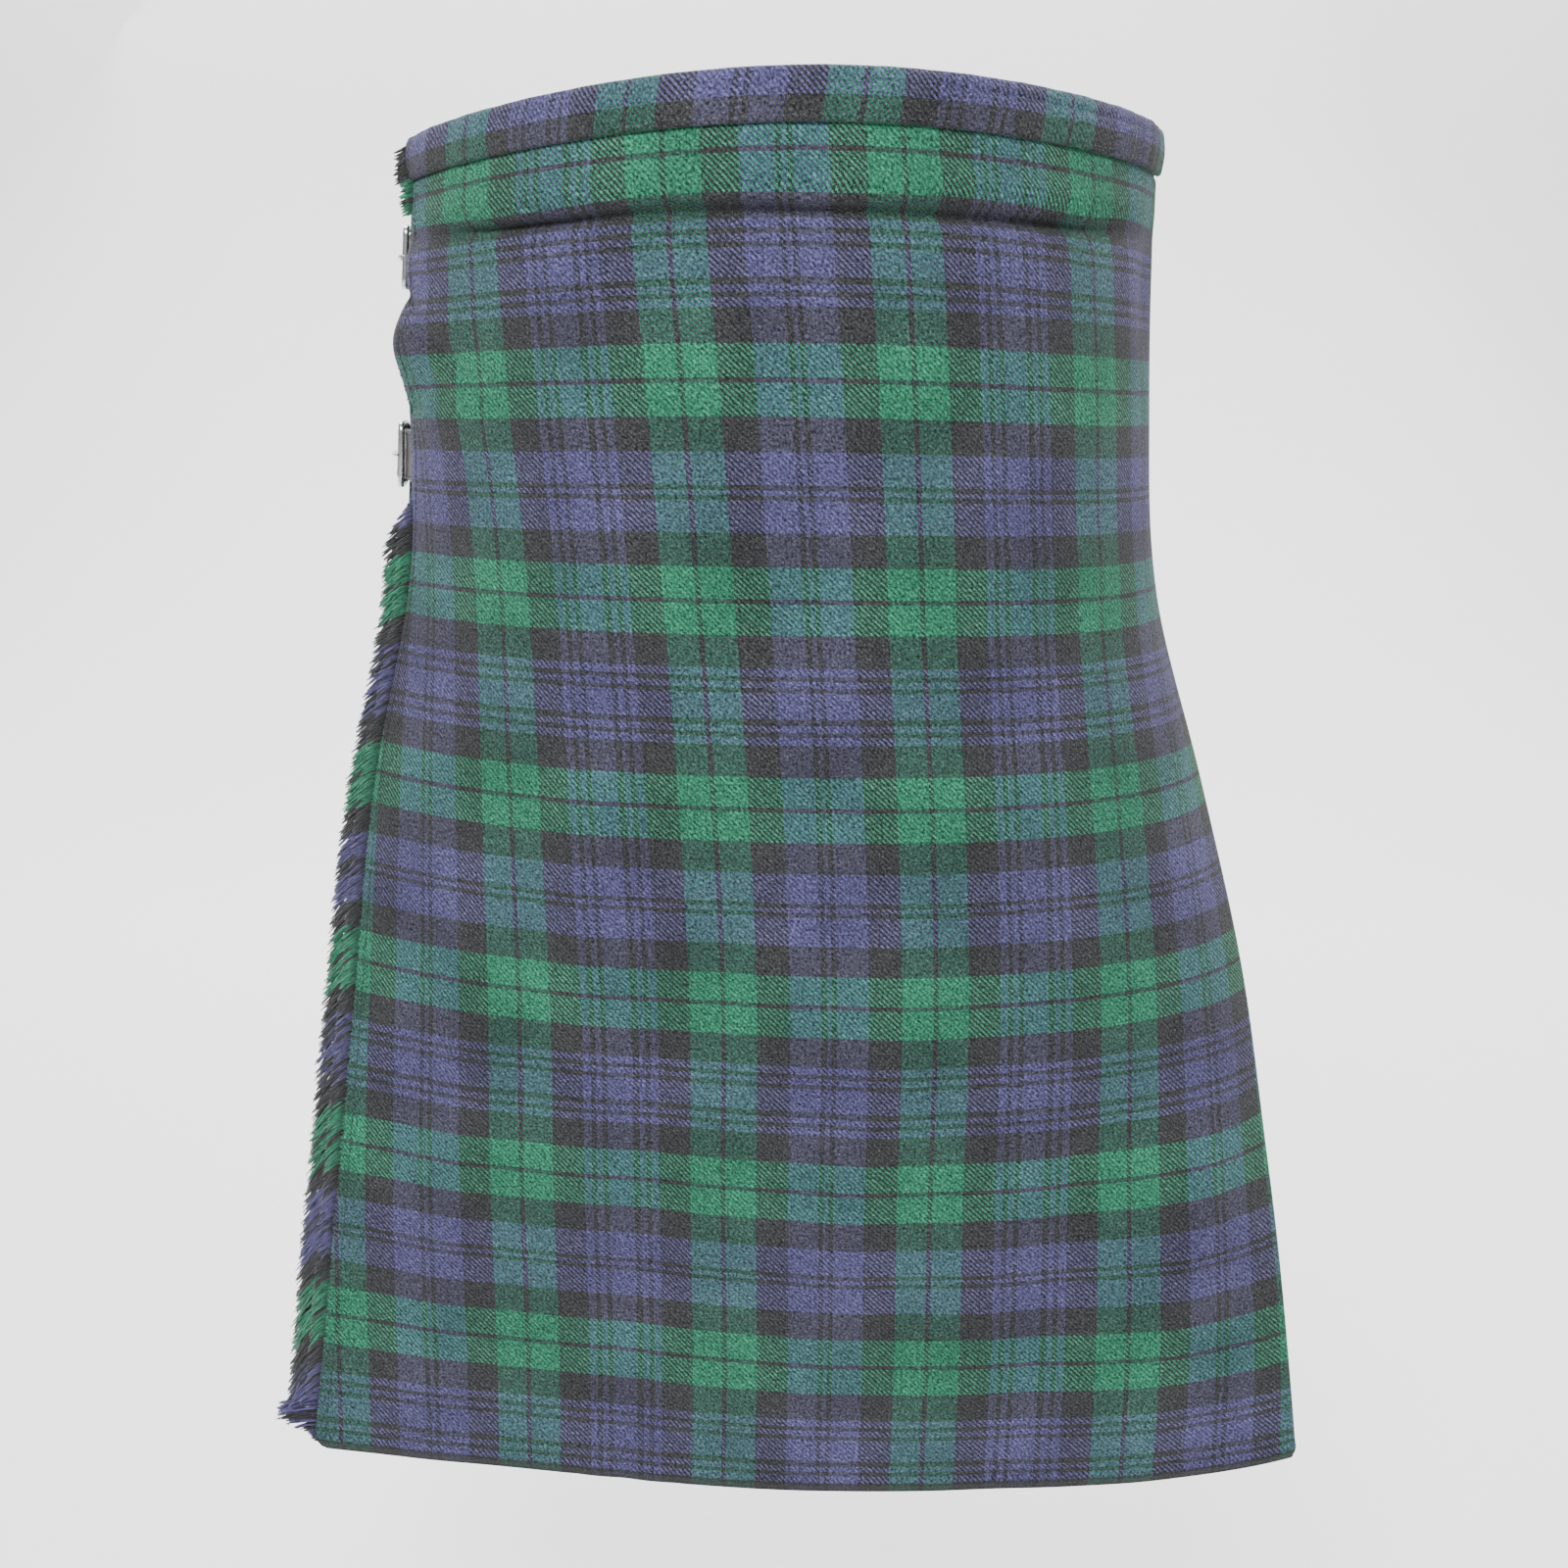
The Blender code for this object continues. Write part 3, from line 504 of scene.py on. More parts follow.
def map_range(tree, value, low, high, to_low, to_high):
    node = tree.nodes.new("ShaderNodeMapRange")
    tree.links.new(value, node.inputs["Value"])
    for name, number in (("From Min", low), ("From Max", high), ("To Min", to_low), ("To Max", to_high)):
        node.inputs[name].default_value = number
    return node.outputs["Result"]


def cloth_place(tree):
    """Distances across and down the cloth, from the mesh's own attribute."""
    attribute = tree.nodes.new("ShaderNodeAttribute")
    attribute.attribute_name = "cloth"
    split = tree.nodes.new("ShaderNodeSeparateXYZ")
    tree.links.new(attribute.outputs["Vector"], split.inputs["Vector"])
    return split.outputs["X"], split.outputs["Y"], split.outputs["Z"]


def joined_vector(tree, x, y, z=0.0):
    node = tree.nodes.new("ShaderNodeCombineXYZ")
    for socket, value in zip(node.inputs, (x, y, z)):
        if isinstance(value, (int, float)):
            socket.default_value = value
        else:
            tree.links.new(value, socket)
    return node.outputs["Vector"]


def sett_colour(tree, place, half_sett):
    """The colour of the thread at a distance from the first green pair's middle."""
    share = math_node(tree, "FRACT", math_node(tree, "DIVIDE", place, 2 * half_sett))
    ramp = tree.nodes.new("ShaderNodeValToRGB")
    ramp.color_ramp.interpolation = "CONSTANT"
    stops = ramp.color_ramp.elements
    total = sum(threads for colour, threads in SETT)
    at, kept = 0, []
    for colour, threads in SETT:
        if not kept or kept[-1][0] != colour:
            kept.append((colour, at / total))
        at += threads
    stops.remove(stops[1])
    stops[0].position = 0.0
    stops[0].color = (*THREAD_COLOURS[kept[0][0]], 1.0)
    for colour, position in kept[1:]:
        stops.new(position).color = (*THREAD_COLOURS[colour], 1.0)
    tree.links.new(share, ramp.inputs["Fac"])
    return ramp.outputs["Color"]


def round_thread(tree, place):
    """Height across a round thread: 0 at its sides and 1 along its middle."""
    doubled = math_node(tree, "MULTIPLY", math_node(tree, "FRACT", place), 2.0)
    centred = math_node(tree, "SUBTRACT", doubled, 1.0)
    return math_node(tree, "SUBTRACT", 1.0, math_node(tree, "MULTIPLY", centred, centred))


def scaled_colour(tree, colour, shade):
    return mix_colours(tree, 1.0, colour, joined_vector(tree, shade, shade, shade), "MULTIPLY")


def bump_from(tree, shader, height, strength, distance):
    bump = tree.nodes.new("ShaderNodeBump")
    bump.inputs["Strength"].default_value = strength
    bump.inputs["Distance"].default_value = distance
    tree.links.new(height, bump.inputs["Height"])
    tree.links.new(bump.outputs["Normal"], shader.inputs["Normal"])


def yarn_shader(shader, roughness, specular, sheen, sheen_roughness):
    shader.inputs["Roughness"].default_value = roughness
    shader.inputs["Specular IOR Level"].default_value = specular
    shader.inputs["Sheen Weight"].default_value = sheen
    shader.inputs["Sheen Roughness"].default_value = sheen_roughness


# How much of the darker yarn shows through at a crossing
SHOW_THROUGH = 0.28
LINT_COLOUR = (0.30, 0.31, 0.32)
# Painted shade: how dark the hem's last few millimetres are made, standing in for the shade under its inward
# roll
HEM_PAINTED_SHADE = 0.45


def tartan_material():
    """Two by two twill: each crossing shows the thread on top, with heathered yarn and a soft nap."""
    material, tree, shader = new_material("wool_tartan")
    across, down, _ = cloth_place(tree)
    place = joined_vector(tree, across, down)
    thread = TWILL_STEP / 4
    wander = map_range(tree, noise_node(tree, place, 420.0, 2.0, 0.7), 0.3, 0.7, -0.55, 0.55)
    a = math_node(tree, "ADD", math_node(tree, "DIVIDE", across, thread), wander)
    b = math_node(tree, "ADD", math_node(tree, "DIVIDE", down, thread), wander)
    step = math_node(tree, "SUBTRACT", math_node(tree, "FLOOR", a), math_node(tree, "FLOOR", b))
    phase = math_node(tree, "FLOORED_MODULO", step, 4.0)
    warp_up = math_node(tree, "LESS_THAN", phase, 1.5)

    # Each yarn is uneven along its own run, and the weft lies a little higher than the warp
    warp_run = noise_node(tree, joined_vector(tree, a, math_node(tree, "MULTIPLY", b, 0.22)), 0.55, 2.0, 0.7)
    weft_run = noise_node(tree, joined_vector(tree, math_node(tree, "MULTIPLY", a, 0.22), b), 0.55, 2.0, 0.7)
    warp = sett_colour(tree, across, HALF_SETT_ACROSS)
    weft = sett_colour(tree, down, HALF_SETT_DOWN)
    warp = scaled_colour(tree, warp, map_range(tree, warp_run, 0.3, 0.7, 0.28, 0.95))
    weft = scaled_colour(tree, weft, map_range(tree, weft_run, 0.3, 0.7, 0.65, 1.75))
    colour = mix_colours(tree, warp_up, weft, warp)
    darker = mix_colours(tree, 1.0, warp, weft, "DARKEN")
    colour = mix_colours(tree, SHOW_THROUGH, colour, darker)

    lie = joined_vector(tree, math_node(tree, "MULTIPLY", a, 0.5), math_node(tree, "MULTIPLY", b, 0.5))
    speckle = map_range(tree, noise_node(tree, lie, 1.0, 2.0, 0.65), 0.32, 0.68, 0.20, 2.05)
    slow = map_range(tree, noise_node(tree, place, 22.0, 3.0), 0.3, 0.7, 0.78, 1.24)
    colour = scaled_colour(tree, colour, math_node(tree, "MULTIPLY", speckle, slow))
    # Painted shade along the hem: the colour darkens over its last few millimetres, where the rolled hem
    # faces down into shade
    hem = LENGTH - FIRST_PAIR_DROP
    hem_painted_shade = map_range(tree, down, hem - 0.0050, hem - 0.0030, 1.0, HEM_PAINTED_SHADE)
    colour = scaled_colour(tree, colour, hem_painted_shade)
    lint = map_range(tree, noise_node(tree, lie, 1.6, 1.0, 0.6), 0.60, 0.78, 0.0, 0.35)
    colour = mix_colours(tree, lint, colour, LINT_COLOUR)
    tree.links.new(colour, shader.inputs["Base Color"])

    relief = mix_colours(tree, warp_up, round_thread(tree, b), round_thread(tree, a))
    height = math_node(tree, "ADD", math_node(tree, "MULTIPLY", relief, 0.5), speckle)
    bump_from(tree, shader, height, 0.45, 0.0004)
    yarn_shader(shader, 0.92, 0.15, 0.06, 0.6)
    return material


def fringe_material():
    """Loose yarn ends keep the colour of their own row of the check, darkened near the root with painted
    shade.
    """
    material, tree, shader = new_material("wool_fringe")
    strand, down, along = cloth_place(tree)
    weft = sett_colour(tree, down, HALF_SETT_DOWN)
    across = math_node(tree, "MULTIPLY", strand, 1400.0)
    lie = joined_vector(tree, across, math_node(tree, "MULTIPLY", along, 300.0))
    shade = map_range(tree, noise_node(tree, lie, 1.0, 2.0, 0.6), 0.3, 0.7, 0.40, 1.75)
    # Painted shade: each yarn end darkens towards its root, where the cloth's edge shades it
    root_painted_shade = map_range(tree, along, 0.001, 0.006, 0.30, 1.0)
    colour = scaled_colour(tree, weft, math_node(tree, "MULTIPLY", shade, root_painted_shade))
    tree.links.new(colour, shader.inputs["Base Color"])
    yarn_shader(shader, 0.9, 0.2, 0.25, 0.5)
    return material


def object_place(tree):
    return tree.nodes.new("ShaderNodeTexCoord").outputs["Object"]


def leather_material():
    material, tree, shader = new_material("strap_leather")
    place = object_place(tree)
    grain = noise_node(tree, place, 900.0, 3.0, 0.6)
    wear = noise_node(tree, place, 60.0, 2.0)
    black, rubbed = (0.010, 0.009, 0.009), (0.028, 0.025, 0.023)
    colour = mix_colours(tree, map_range(tree, wear, 0.4, 0.75, 0.0, 1.0), black, rubbed)
    tree.links.new(colour, shader.inputs["Base Color"])
    tree.links.new(map_range(tree, wear, 0.3, 0.7, 0.38, 0.55), shader.inputs["Roughness"])
    bump_from(tree, shader, grain, 0.25, 0.0002)
    return material


def metal_material():
    material, tree, shader = new_material("nickel_buckle")
    marks = noise_node(tree, object_place(tree), 420.0, 3.0, 0.6)
    tree.links.new(map_range(tree, marks, 0.3, 0.7, 0.16, 0.34), shader.inputs["Roughness"])
    bright, dulled = (0.62, 0.62, 0.63), (0.42, 0.41, 0.40)
    colour = mix_colours(tree, map_range(tree, marks, 0.45, 0.8, 0.0, 1.0), bright, dulled)
    tree.links.new(colour, shader.inputs["Base Color"])
    shader.inputs["Metallic"].default_value = 1.0
    return material


def stitch_material(name, colour):
    material, tree, shader = new_material(name)
    shade = map_range(tree, noise_node(tree, object_place(tree), 2500.0, 2.0), 0.3, 0.7, 0.7, 1.3)
    tree.links.new(scaled_colour(tree, colour, shade), shader.inputs["Base Color"])
    shader.inputs["Roughness"].default_value = 0.8
    return material


# Cloth pieces


def cloth_across(drop, arc):
    """Distance across the cloth from green pair A, where the full sett starts."""
    return (THREADS.at("pairs", drop) + 1.0) * HALF_SETT_ACROSS + arc


def cloth_down(drop):
    return drop - FIRST_PAIR_DROP


def taken_up(drop):
    """Cloth that the fold below the waist seam takes up; the panel gives it back by the thigh."""
    in_fold = smooth_share((drop - FOLD_START) / FOLD_HEIGHT)
    return FOLD_TAKE_UP * in_fold * (1 - smooth_share((drop - FOLD_FREE) / (FOLD_GONE - FOLD_FREE)))


OVER_COLUMNS = 170
UNDER_COLUMNS = 120
RETURN_COLUMNS = 8
FOLD_TAKE_UP = 0.0028
FOLD_START = 0.039
FOLD_HEIGHT = 0.014
FOLD_FREE = 0.22
FOLD_GONE = 0.44
OVERHANG = 0.0028
OVERHANG_DROP = 0.0446
OVERHANG_REACH = 0.0034
FOLD_TURN = np.linspace(-math.pi / 2, math.pi / 2, 7)[1:-1]
CORNER_RADIUS = 0.007
# The hem hangs a little below the solid's own edge
HEM_DROP = 0.0030


def folded_line(face, way, half):
    """Arcs, outs and cloth distances of a panel's face, its pressed fold and the return behind it."""
    middle = -CLOTH_THICKNESS / 2
    end = face[-1]
    back = np.linspace(end, end - way * APRON_RETURN, RETURN_COLUMNS)
    round_fold = half * (FOLD_TURN + math.pi / 2)
    arcs = np.concatenate([face, end + way * half * np.cos(FOLD_TURN), back])
    outs = np.concatenate([face * 0, -half * (1 + np.sin(FOLD_TURN)), back * 0 - 2 * half]) + middle
    flat = np.concatenate([way * face, way * end + round_fold, way * (2 * end - back) + math.pi * half])
    return arcs, outs, flat


def panel_drops(drop, arcs, face):
    """The return behind a fold starts under the waistband; the face goes up into it."""
    behind = np.arange(len(arcs)) >= len(face)
    return np.where(behind, max(drop, UNDER_BAND_TOP), drop)


def over_apron(surface, material):
    drops = np.concatenate([
        np.linspace(0.003, 0.018, 6), np.linspace(0.0187, 0.027, 13), np.linspace(0.028, 0.075, 42),
        np.linspace(0.078, 0.614, 178), np.linspace(0.6155, LENGTH + HEM_DROP, 18),
    ])
    places, cloth = [], []
    for drop in drops:
        level = level_at(float(drop))
        face = np.linspace(level.fringe_arc, level.fold_arc, OVER_COLUMNS)
        arcs, outs, flat = folded_line(face, 1, level.apron_layer / 2)
        down = panel_drops(drop, arcs, face) - corner_lift(drop, arcs - level.fringe_arc)
        places.append(np.stack([down, arcs, outs], -1))
        cloth.append(np.stack([cloth_across(drop, flat), cloth_down(down) + taken_up(down)], -1))
    places, cloth = np.array(places), np.array(cloth)
    down, arcs, outs = places[..., 0], places[..., 1], places[..., 2]
    points = surface.at(down + overhang(down, arcs), arcs, outs + apron_relief(down, arcs))
    return cloth_piece("over_apron", points, cloth, material, CLOTH_THICKNESS)


def corner_lift(drop, from_edge):
    """How far the hem rises at its rounded corner beside the fringe."""
    inside = np.clip(1 - from_edge / CORNER_RADIUS, 0.0, 1.0)
    near_hem = smooth_share((drop - LENGTH + 0.03) / 0.03)
    return near_hem * CORNER_RADIUS * (1 - np.sqrt(1 - inside ** 2))


RELIEF_COLUMNS = ("drop", "arc", "half_height", "half_arc", "lean", "height")
APRON_RELIEF_ROWS = (
    (0.0600, -0.200, 0.0130, 0.030, 0.00, 0.0030),
    (0.0495, -0.112, 0.0044, 0.056, 0.02, -0.0062),
    (0.0515, -0.005, 0.0042, 0.050, 0.00, -0.0046),
    (0.0500, 0.100, 0.0044, 0.056, -0.03, -0.0062),
    (0.0385, -0.095, 0.0060, 0.075, 0.02, 0.0030),
    (0.0395, 0.075, 0.0060, 0.085, -0.03, 0.0026),
    (0.0860, -0.176, 0.0040, 0.020, 0.75, -0.0022),
    (0.0920, -0.200, 0.0140, 0.030, 0.00, 0.0014),
    (0.1240, -0.183, 0.0060, 0.022, -0.45, -0.0016),
    (0.1300, -0.150, 0.0120, 0.040, 0.12, 0.0016),
    (0.1050, -0.150, 0.0100, 0.035, -0.10, -0.0012),
    (0.0700, 0.195, 0.0300, 0.010, 0.05, -0.0024),
    (0.1900, 0.140, 0.0160, 0.060, 0.10, 0.0014),
    (0.2150, 0.060, 0.0090, 0.050, 0.12, -0.0012),
    (0.2400, 0.020, 0.0200, 0.070, 0.15, -0.0012),
    (0.3300, -0.060, 0.0600, 0.016, 0.10, 0.0020),
    (0.3550, 0.010, 0.0700, 0.014, 0.05, -0.0018),
    (0.4500, 0.090, 0.1100, 0.022, -0.06, 0.0024),
    (0.4800, -0.010, 0.1200, 0.020, 0.05, -0.0022),
    (0.5000, -0.100, 0.1100, 0.020, 0.04, 0.0022),
    (0.5200, 0.190, 0.1000, 0.022, -0.10, -0.0024),
    (0.5200, 0.255, 0.0900, 0.018, -0.08, 0.0020),
)
UNDER_RELIEF_ROWS = (
    (0.0520, 0.050, 0.0060, 0.060, 0.02, -0.0016),
    (0.0540, -0.080, 0.0060, 0.060, -0.02, -0.0014),
    (0.3600, -0.040, 0.0900, 0.020, 0.05, 0.0016),
    (0.4700, 0.060, 0.1000, 0.024, -0.05, -0.0016),
    (0.5300, -0.120, 0.0900, 0.022, 0.05, 0.0018),
)
BACK_RELIEF_ROWS = (
    (0.0520, 0.110, 0.0070, 0.080, 0.03, -0.0020),
    (0.0500, 0.330, 0.0070, 0.110, -0.02, -0.0024),
    (0.0550, 0.500, 0.0080, 0.070, 0.05, -0.0018),
    (0.0400, 0.250, 0.0080, 0.180, 0.00, 0.0014),
    (0.1250, 0.090, 0.0180, 0.040, 0.20, -0.0014),
    (0.1550, 0.300, 0.0450, 0.150, 0.00, 0.0018),
    (0.1150, 0.470, 0.0160, 0.045, -0.25, -0.0014),
    (0.3300, 0.200, 0.1000, 0.045, 0.10, 0.0024),
    (0.3700, 0.430, 0.0900, 0.050, -0.10, -0.0020),
    (0.5000, 0.080, 0.1000, 0.040, 0.10, 0.0020),
    (0.5200, 0.340, 0.1000, 0.050, -0.10, 0.0026),
)
HEM_ROLL = 0.0060
HEM_ROLL_DEPTH = 0.0026
HEM_RIDGE = 0.0006
SEAM_DIP = 0.0012


def relief(rows, drop, arc):
    """Low soft folds and ridges, beyond the hollows that the solids share."""
    height = 0.0
    for row in rows:
        fold = dict(zip(RELIEF_COLUMNS, row))
        up = (drop - fold["drop"] - fold["lean"] * (arc - fold["arc"])) / fold["half_height"]
        along = (arc - fold["arc"] - fold["lean"] * (drop - fold["drop"])) / fold["half_arc"]
        height = height + fold["height"] * np.exp(-up ** 2 - along ** 2)
    return height


def overhang(drop, arc):
    """How far the puffed cloth under the waist seam hangs over the trough below it."""
    across = smooth_share((arc + 0.18) / 0.05) * smooth_share((0.165 - arc) / 0.04)
    wave = 0.75 + 0.25 * np.sin(arc * 47.0 + 0.8)
    return OVERHANG * wave * across * np.exp(-((drop - OVERHANG_DROP) / OVERHANG_REACH) ** 2)


def apron_relief(drop, arc):
    """The over apron's folds, the dip at its waist seam and the inward roll of its hem."""
    lower_edge = LENGTH + HEM_DROP
    roll = HEM_ROLL_DEPTH * smooth_share((drop - lower_edge + HEM_ROLL) / HEM_ROLL)
    roll = roll - HEM_RIDGE * np.exp(-((drop - lower_edge + HEM_ROLL + 0.0015) / 0.0020) ** 2)
    dip = SEAM_DIP * np.exp(-((drop - BAND_HEIGHT - 0.0010) / 0.0016) ** 2)
    return relief(APRON_RELIEF_ROWS, drop, arc) - roll - dip


def under_apron(surface, material):
    drops = np.linspace(0.003, LENGTH - 0.002, 150)
    places, cloth = [], []
    for drop in drops:
        level = level_at(float(drop))
        half = level.apron_layer / 2
        face = np.linspace(level.under_end, level.under_fold + half, UNDER_COLUMNS)
        arcs, outs, flat = folded_line(face, -1, half)
        down = panel_drops(drop, arcs, face)
        places.append(np.stack([down, arcs, outs], -1))
        cloth.append(np.stack([flat, cloth_down(down)], -1))
    places, cloth = np.array(places), np.array(cloth)
    raised = places[..., 2] + relief(UNDER_RELIEF_ROWS, places[..., 0], places[..., 1])
    points = surface.at(places[..., 0], places[..., 1], raised)
    return cloth_piece("under_apron", points, cloth, material, CLOTH_THICKNESS)


PLEAT_FACE = np.linspace(0.0, 1.0, 7)
PLEAT_BEND = np.linspace(-math.pi / 2, math.pi / 2, 5)[1:-1]
PLEAT_BEHIND = np.array([0.0, 0.5, 1.0])
VISIBLE_AT_HIP = 0.0205
PLEAT_BOW = 0.25
PLEAT_SWING = 0.0030


def pleat_line(level, lift):
    """Arcs, outs and cloth distances of the zigzag through all the pleats at one drop."""
    middle = -PLEAT_WALL / 2
    layer = level.layer
    edges = pleat_edges(level)
    first_slope = 2 * layer / (edges[1] - edges[0])
    arcs, outs, flat = [], [], []
    start = level.inner_fold_arc
    arcs.append(np.linspace(start, edges[0], 5)[:-1])
    outs.append(middle - first_slope * (edges[1] - arcs[0]))
    flat.append(arcs[0])
    for k, (near, edge) in enumerate(zip(edges[:-1], edges[1:])):
        width = edge - near
        overlap = (PLEAT_CLOTH - width) / 2
        slope = 2 * layer / width
        thread = (k + 1) * VISIBLE_AT_HIP
        half = layer / 2
        raised = lift[k] * PLEAT_FACE ** 2
        bow = PLEAT_BOW * layer * np.sin(math.pi * PLEAT_FACE)
        arcs.append(near + width * PLEAT_FACE)
        outs.append(middle - 2 * layer * (1 - PLEAT_FACE) + bow + raised)
        flat.append(thread - width * (1 - PLEAT_FACE))
        arcs.append(edge + half * np.cos(PLEAT_BEND))
        outs.append(middle - half * (1 + np.sin(PLEAT_BEND)) + lift[k])
        flat.append(thread + half * (PLEAT_BEND + math.pi / 2))
        behind = PLEAT_BEHIND
        arcs.append(edge - overlap * behind)
        outs.append(middle - layer - slope * overlap * behind + lift[k] * (1 - behind) ** 2)
        flat.append(thread + overlap * behind)
        arcs.append(edge - overlap - half * np.cos(PLEAT_BEND))
        outs.append(middle - layer - slope * overlap - half * (1 + np.sin(PLEAT_BEND)))
        flat.append(thread + overlap + 0 * PLEAT_BEND)
        arcs.append(edge - overlap + overlap * behind[:2])
        outs.append(middle - slope * overlap * (1 - behind[:2]) - 2 * layer)
        flat.append(thread + overlap * (1 - behind[:2]))
    run = -(APRON_WALL + level.apron_layer + PLEAT_WALL)
    run_end = level.back_seam + level.under_face_end - level.under_seam + APRON_RETURN
    arcs.append(np.linspace(edges[-1], run_end, 6))
    outs.append(np.full(6, min(run, middle - 2 * layer)))
    flat.append(PLEATS * VISIBLE_AT_HIP + arcs[-1] - edges[-1])
    return np.concatenate(arcs), np.concatenate(outs), np.concatenate(flat)


def pleated_back(surface, material):
    rng = np.random.default_rng(7)
    swing = rng.uniform(0.2, 1.0, PLEATS) * PLEAT_SWING
    swing[0] = swing[-1] = 0.0
    drops = np.concatenate([np.linspace(0.003, FELL, 28)[:-1], np.linspace(FELL, LENGTH, 72)])
    places, cloth = [], []
    for drop in drops:
        free = max(0.0, (drop - FELL) / (LENGTH - FELL))
        arcs, outs, flat = pleat_line(level_at(float(drop)), swing * free ** 1.5)
        places.append(np.stack([arcs * 0 + drop, arcs, outs], -1))
        cloth.append(np.stack([flat, arcs * 0 + cloth_down(drop)], -1))
    places, cloth = np.array(places), np.array(cloth)
    raised = places[..., 2] + relief(BACK_RELIEF_ROWS, places[..., 0], places[..., 1])
    points = surface.at(places[..., 0], places[..., 1], raised)
    return cloth_piece("pleated_back", points, cloth, material, THIN_CLOTH)


ROLL_START = 0.0036
BAND_PUFF = 0.0010


def band_section(outer, inner):
    """Drops, outs and cloth distances round the band's section: up the face, over the roll, down inside."""
    top = ROLL_START
    face = np.linspace(BAND_HEIGHT, top, 17)
    turn = np.linspace(0.0, math.pi, 13)
    half = (outer - inner) / 2
    roll_drop = top - (top - 0.0004) * np.sin(turn)
    roll_out = (outer + inner) / 2 + half * np.cos(turn)
    inside = np.linspace(top, BAND_INSIDE, 6)
    tucked_drop = [BAND_HEIGHT + 0.0006, BAND_HEIGHT + 0.0004]
    tucked_out = [outer - 0.0016, outer - 0.0005]
    drops = np.concatenate([tucked_drop, face, roll_drop[1:-1], inside])
    outs = np.concatenate([tucked_out, face * 0 + outer, roll_out[1:-1], inside * 0 + inner])
    puff = BAND_PUFF * np.sin(np.clip((BAND_HEIGHT - drops) / (BAND_HEIGHT - 0.002), 0, 1) * math.pi)
    outs = outs + np.where(outs > (outer + inner) / 2 + half * 0.3, puff, 0.0)
    steps = np.hypot(np.diff(drops), np.diff(outs))
    return drops, outs, np.concatenate([[0.0], np.cumsum(steps)])


ROLL_CREASE_DROP = 0.0058
ROLL_CREASE_ARC = 0.095
ROLL_CREASE_DEPTH = 0.0011
BAND_SETT_SHIFT = -0.0076
BAND_THREAD_SHIFT = 0.17
BAND_END_SHIFT = -0.065


def band(name, surface, arcs_at, inner, across_at, material):
    """A stretch of waistband. arcs_at and across_at give its arcs and its threads."""
    places, cloth = [], []
    drops, outs, lengths = band_section(SEAM + BAND_WALL / 2, inner)
    for row, drop in enumerate(drops):
        arcs = arcs_at(float(drop))
        wave = 0.0003 * np.sin(arcs * 210.0 + 1.3) + 0.0002 * np.sin(arcs * 523.0)
        if outs[row] > 0:
            crease = np.exp(-((drop - ROLL_CREASE_DROP) / 0.0011) ** 2)
            wave = wave - ROLL_CREASE_DEPTH * crease * np.exp(-((arcs - ROLL_CREASE_ARC) / 0.07) ** 2)
        places.append(np.stack([arcs * 0 + drop, arcs, outs[row] + wave], -1))
        down = BAND_HEIGHT + BAND_SETT_SHIFT - FIRST_PAIR_DROP - lengths[row]
        cloth.append(np.stack([across_at(arcs), arcs * 0 + down], -1))
    places, cloth = np.array(places), np.array(cloth)
    points = surface.at(places[..., 0], places[..., 1], places[..., 2])
    return cloth_piece(name, points, cloth, material, THIN_CLOTH)


def bands(apron, body, material):
    outer = SEAM + BAND_WALL / 2
    thin = -APRON_WALL - outer
    top = level_at(0.003)
    widest = max(np.diff(pleat_edges(top)))
    overlap = (PLEAT_CLOTH - widest) / 2
    deep = -(PLEAT_WALL + 2 * top.layer * (1 + overlap / widest)) - 2 * SEAM - BAND_WALL / 2

    def front_arcs(drop):
        level = level_at(drop)
        return np.linspace(level.fringe_arc, level.fold_arc, 190)

    def back_arcs(drop):
        level = level_at(drop)
        end = level.back_seam + level.under_face_end - level.under_seam - SEAM
        return np.linspace(-BAND_TUCK, end, 220)

    def under_arcs(drop):
        level = level_at(drop)
        return np.linspace(level.under_end, level.under_face_end, 120)

    def front_across(arcs):
        share = np.clip((arcs + 0.16) / 0.10, 0.0, 1.0)
        shift = BAND_END_SHIFT + (BAND_THREAD_SHIFT - BAND_END_SHIFT) * share
        return cloth_across(0.012, arcs) + shift * HALF_SETT_ACROSS

    return [
        band("band_front", apron, front_arcs, thin, front_across, material),
        band("band_back", body, back_arcs, deep, np.positive, material),
        band("band_under", body, under_arcs, thin, np.negative, material),
    ]


# Fringe and stitches


FRINGE_LAYERS = (
    # pitch, out from the cloth, reach at the hip and at the hem, droop in degrees there
    (0.00060, -0.0008, 0.0085, 0.0105, 28, 42),
    (0.00056, -0.0017, 0.0158, 0.0205, 32, 47),
    (0.00060, -0.0026, 0.0152, 0.0198, 40, 56),
)
YARN_RADIUS = 0.00044
YARN_TAPER = np.array([0.9, 1.0, 1.05, 1.0, 0.95, 0.5])
YARN_SIDES = 4
# Between these drops the straps hold the yarn ends flat
TIGHT_TOP = 0.033
TIGHT_FADE = 0.003
TIGHT_BOTTOM = 0.158
TIGHT_RUN = 0.022
BAND_REACH = 0.62
BELOW_BAND_REACH = 0.50
TIGHT_REACH = 0.30
# The longer tuft at the hem
TAIL_START = 0.597
TAIL_FULL = 0.610
TAIL_END = 0.6275
TAIL_REACH = 0.0245
TAIL_DROOP = 12
YARN_COLOUR_FALL = 0.55


def fringe_freedom(drop):
    """How free the yarn ends are: the straps hold them flat against the pleats between two drops."""
    above = 1 - smooth_share((drop - TIGHT_TOP) / TIGHT_FADE)
    below = smooth_share((drop - TIGHT_BOTTOM) / TIGHT_RUN)
    return float(above + below)


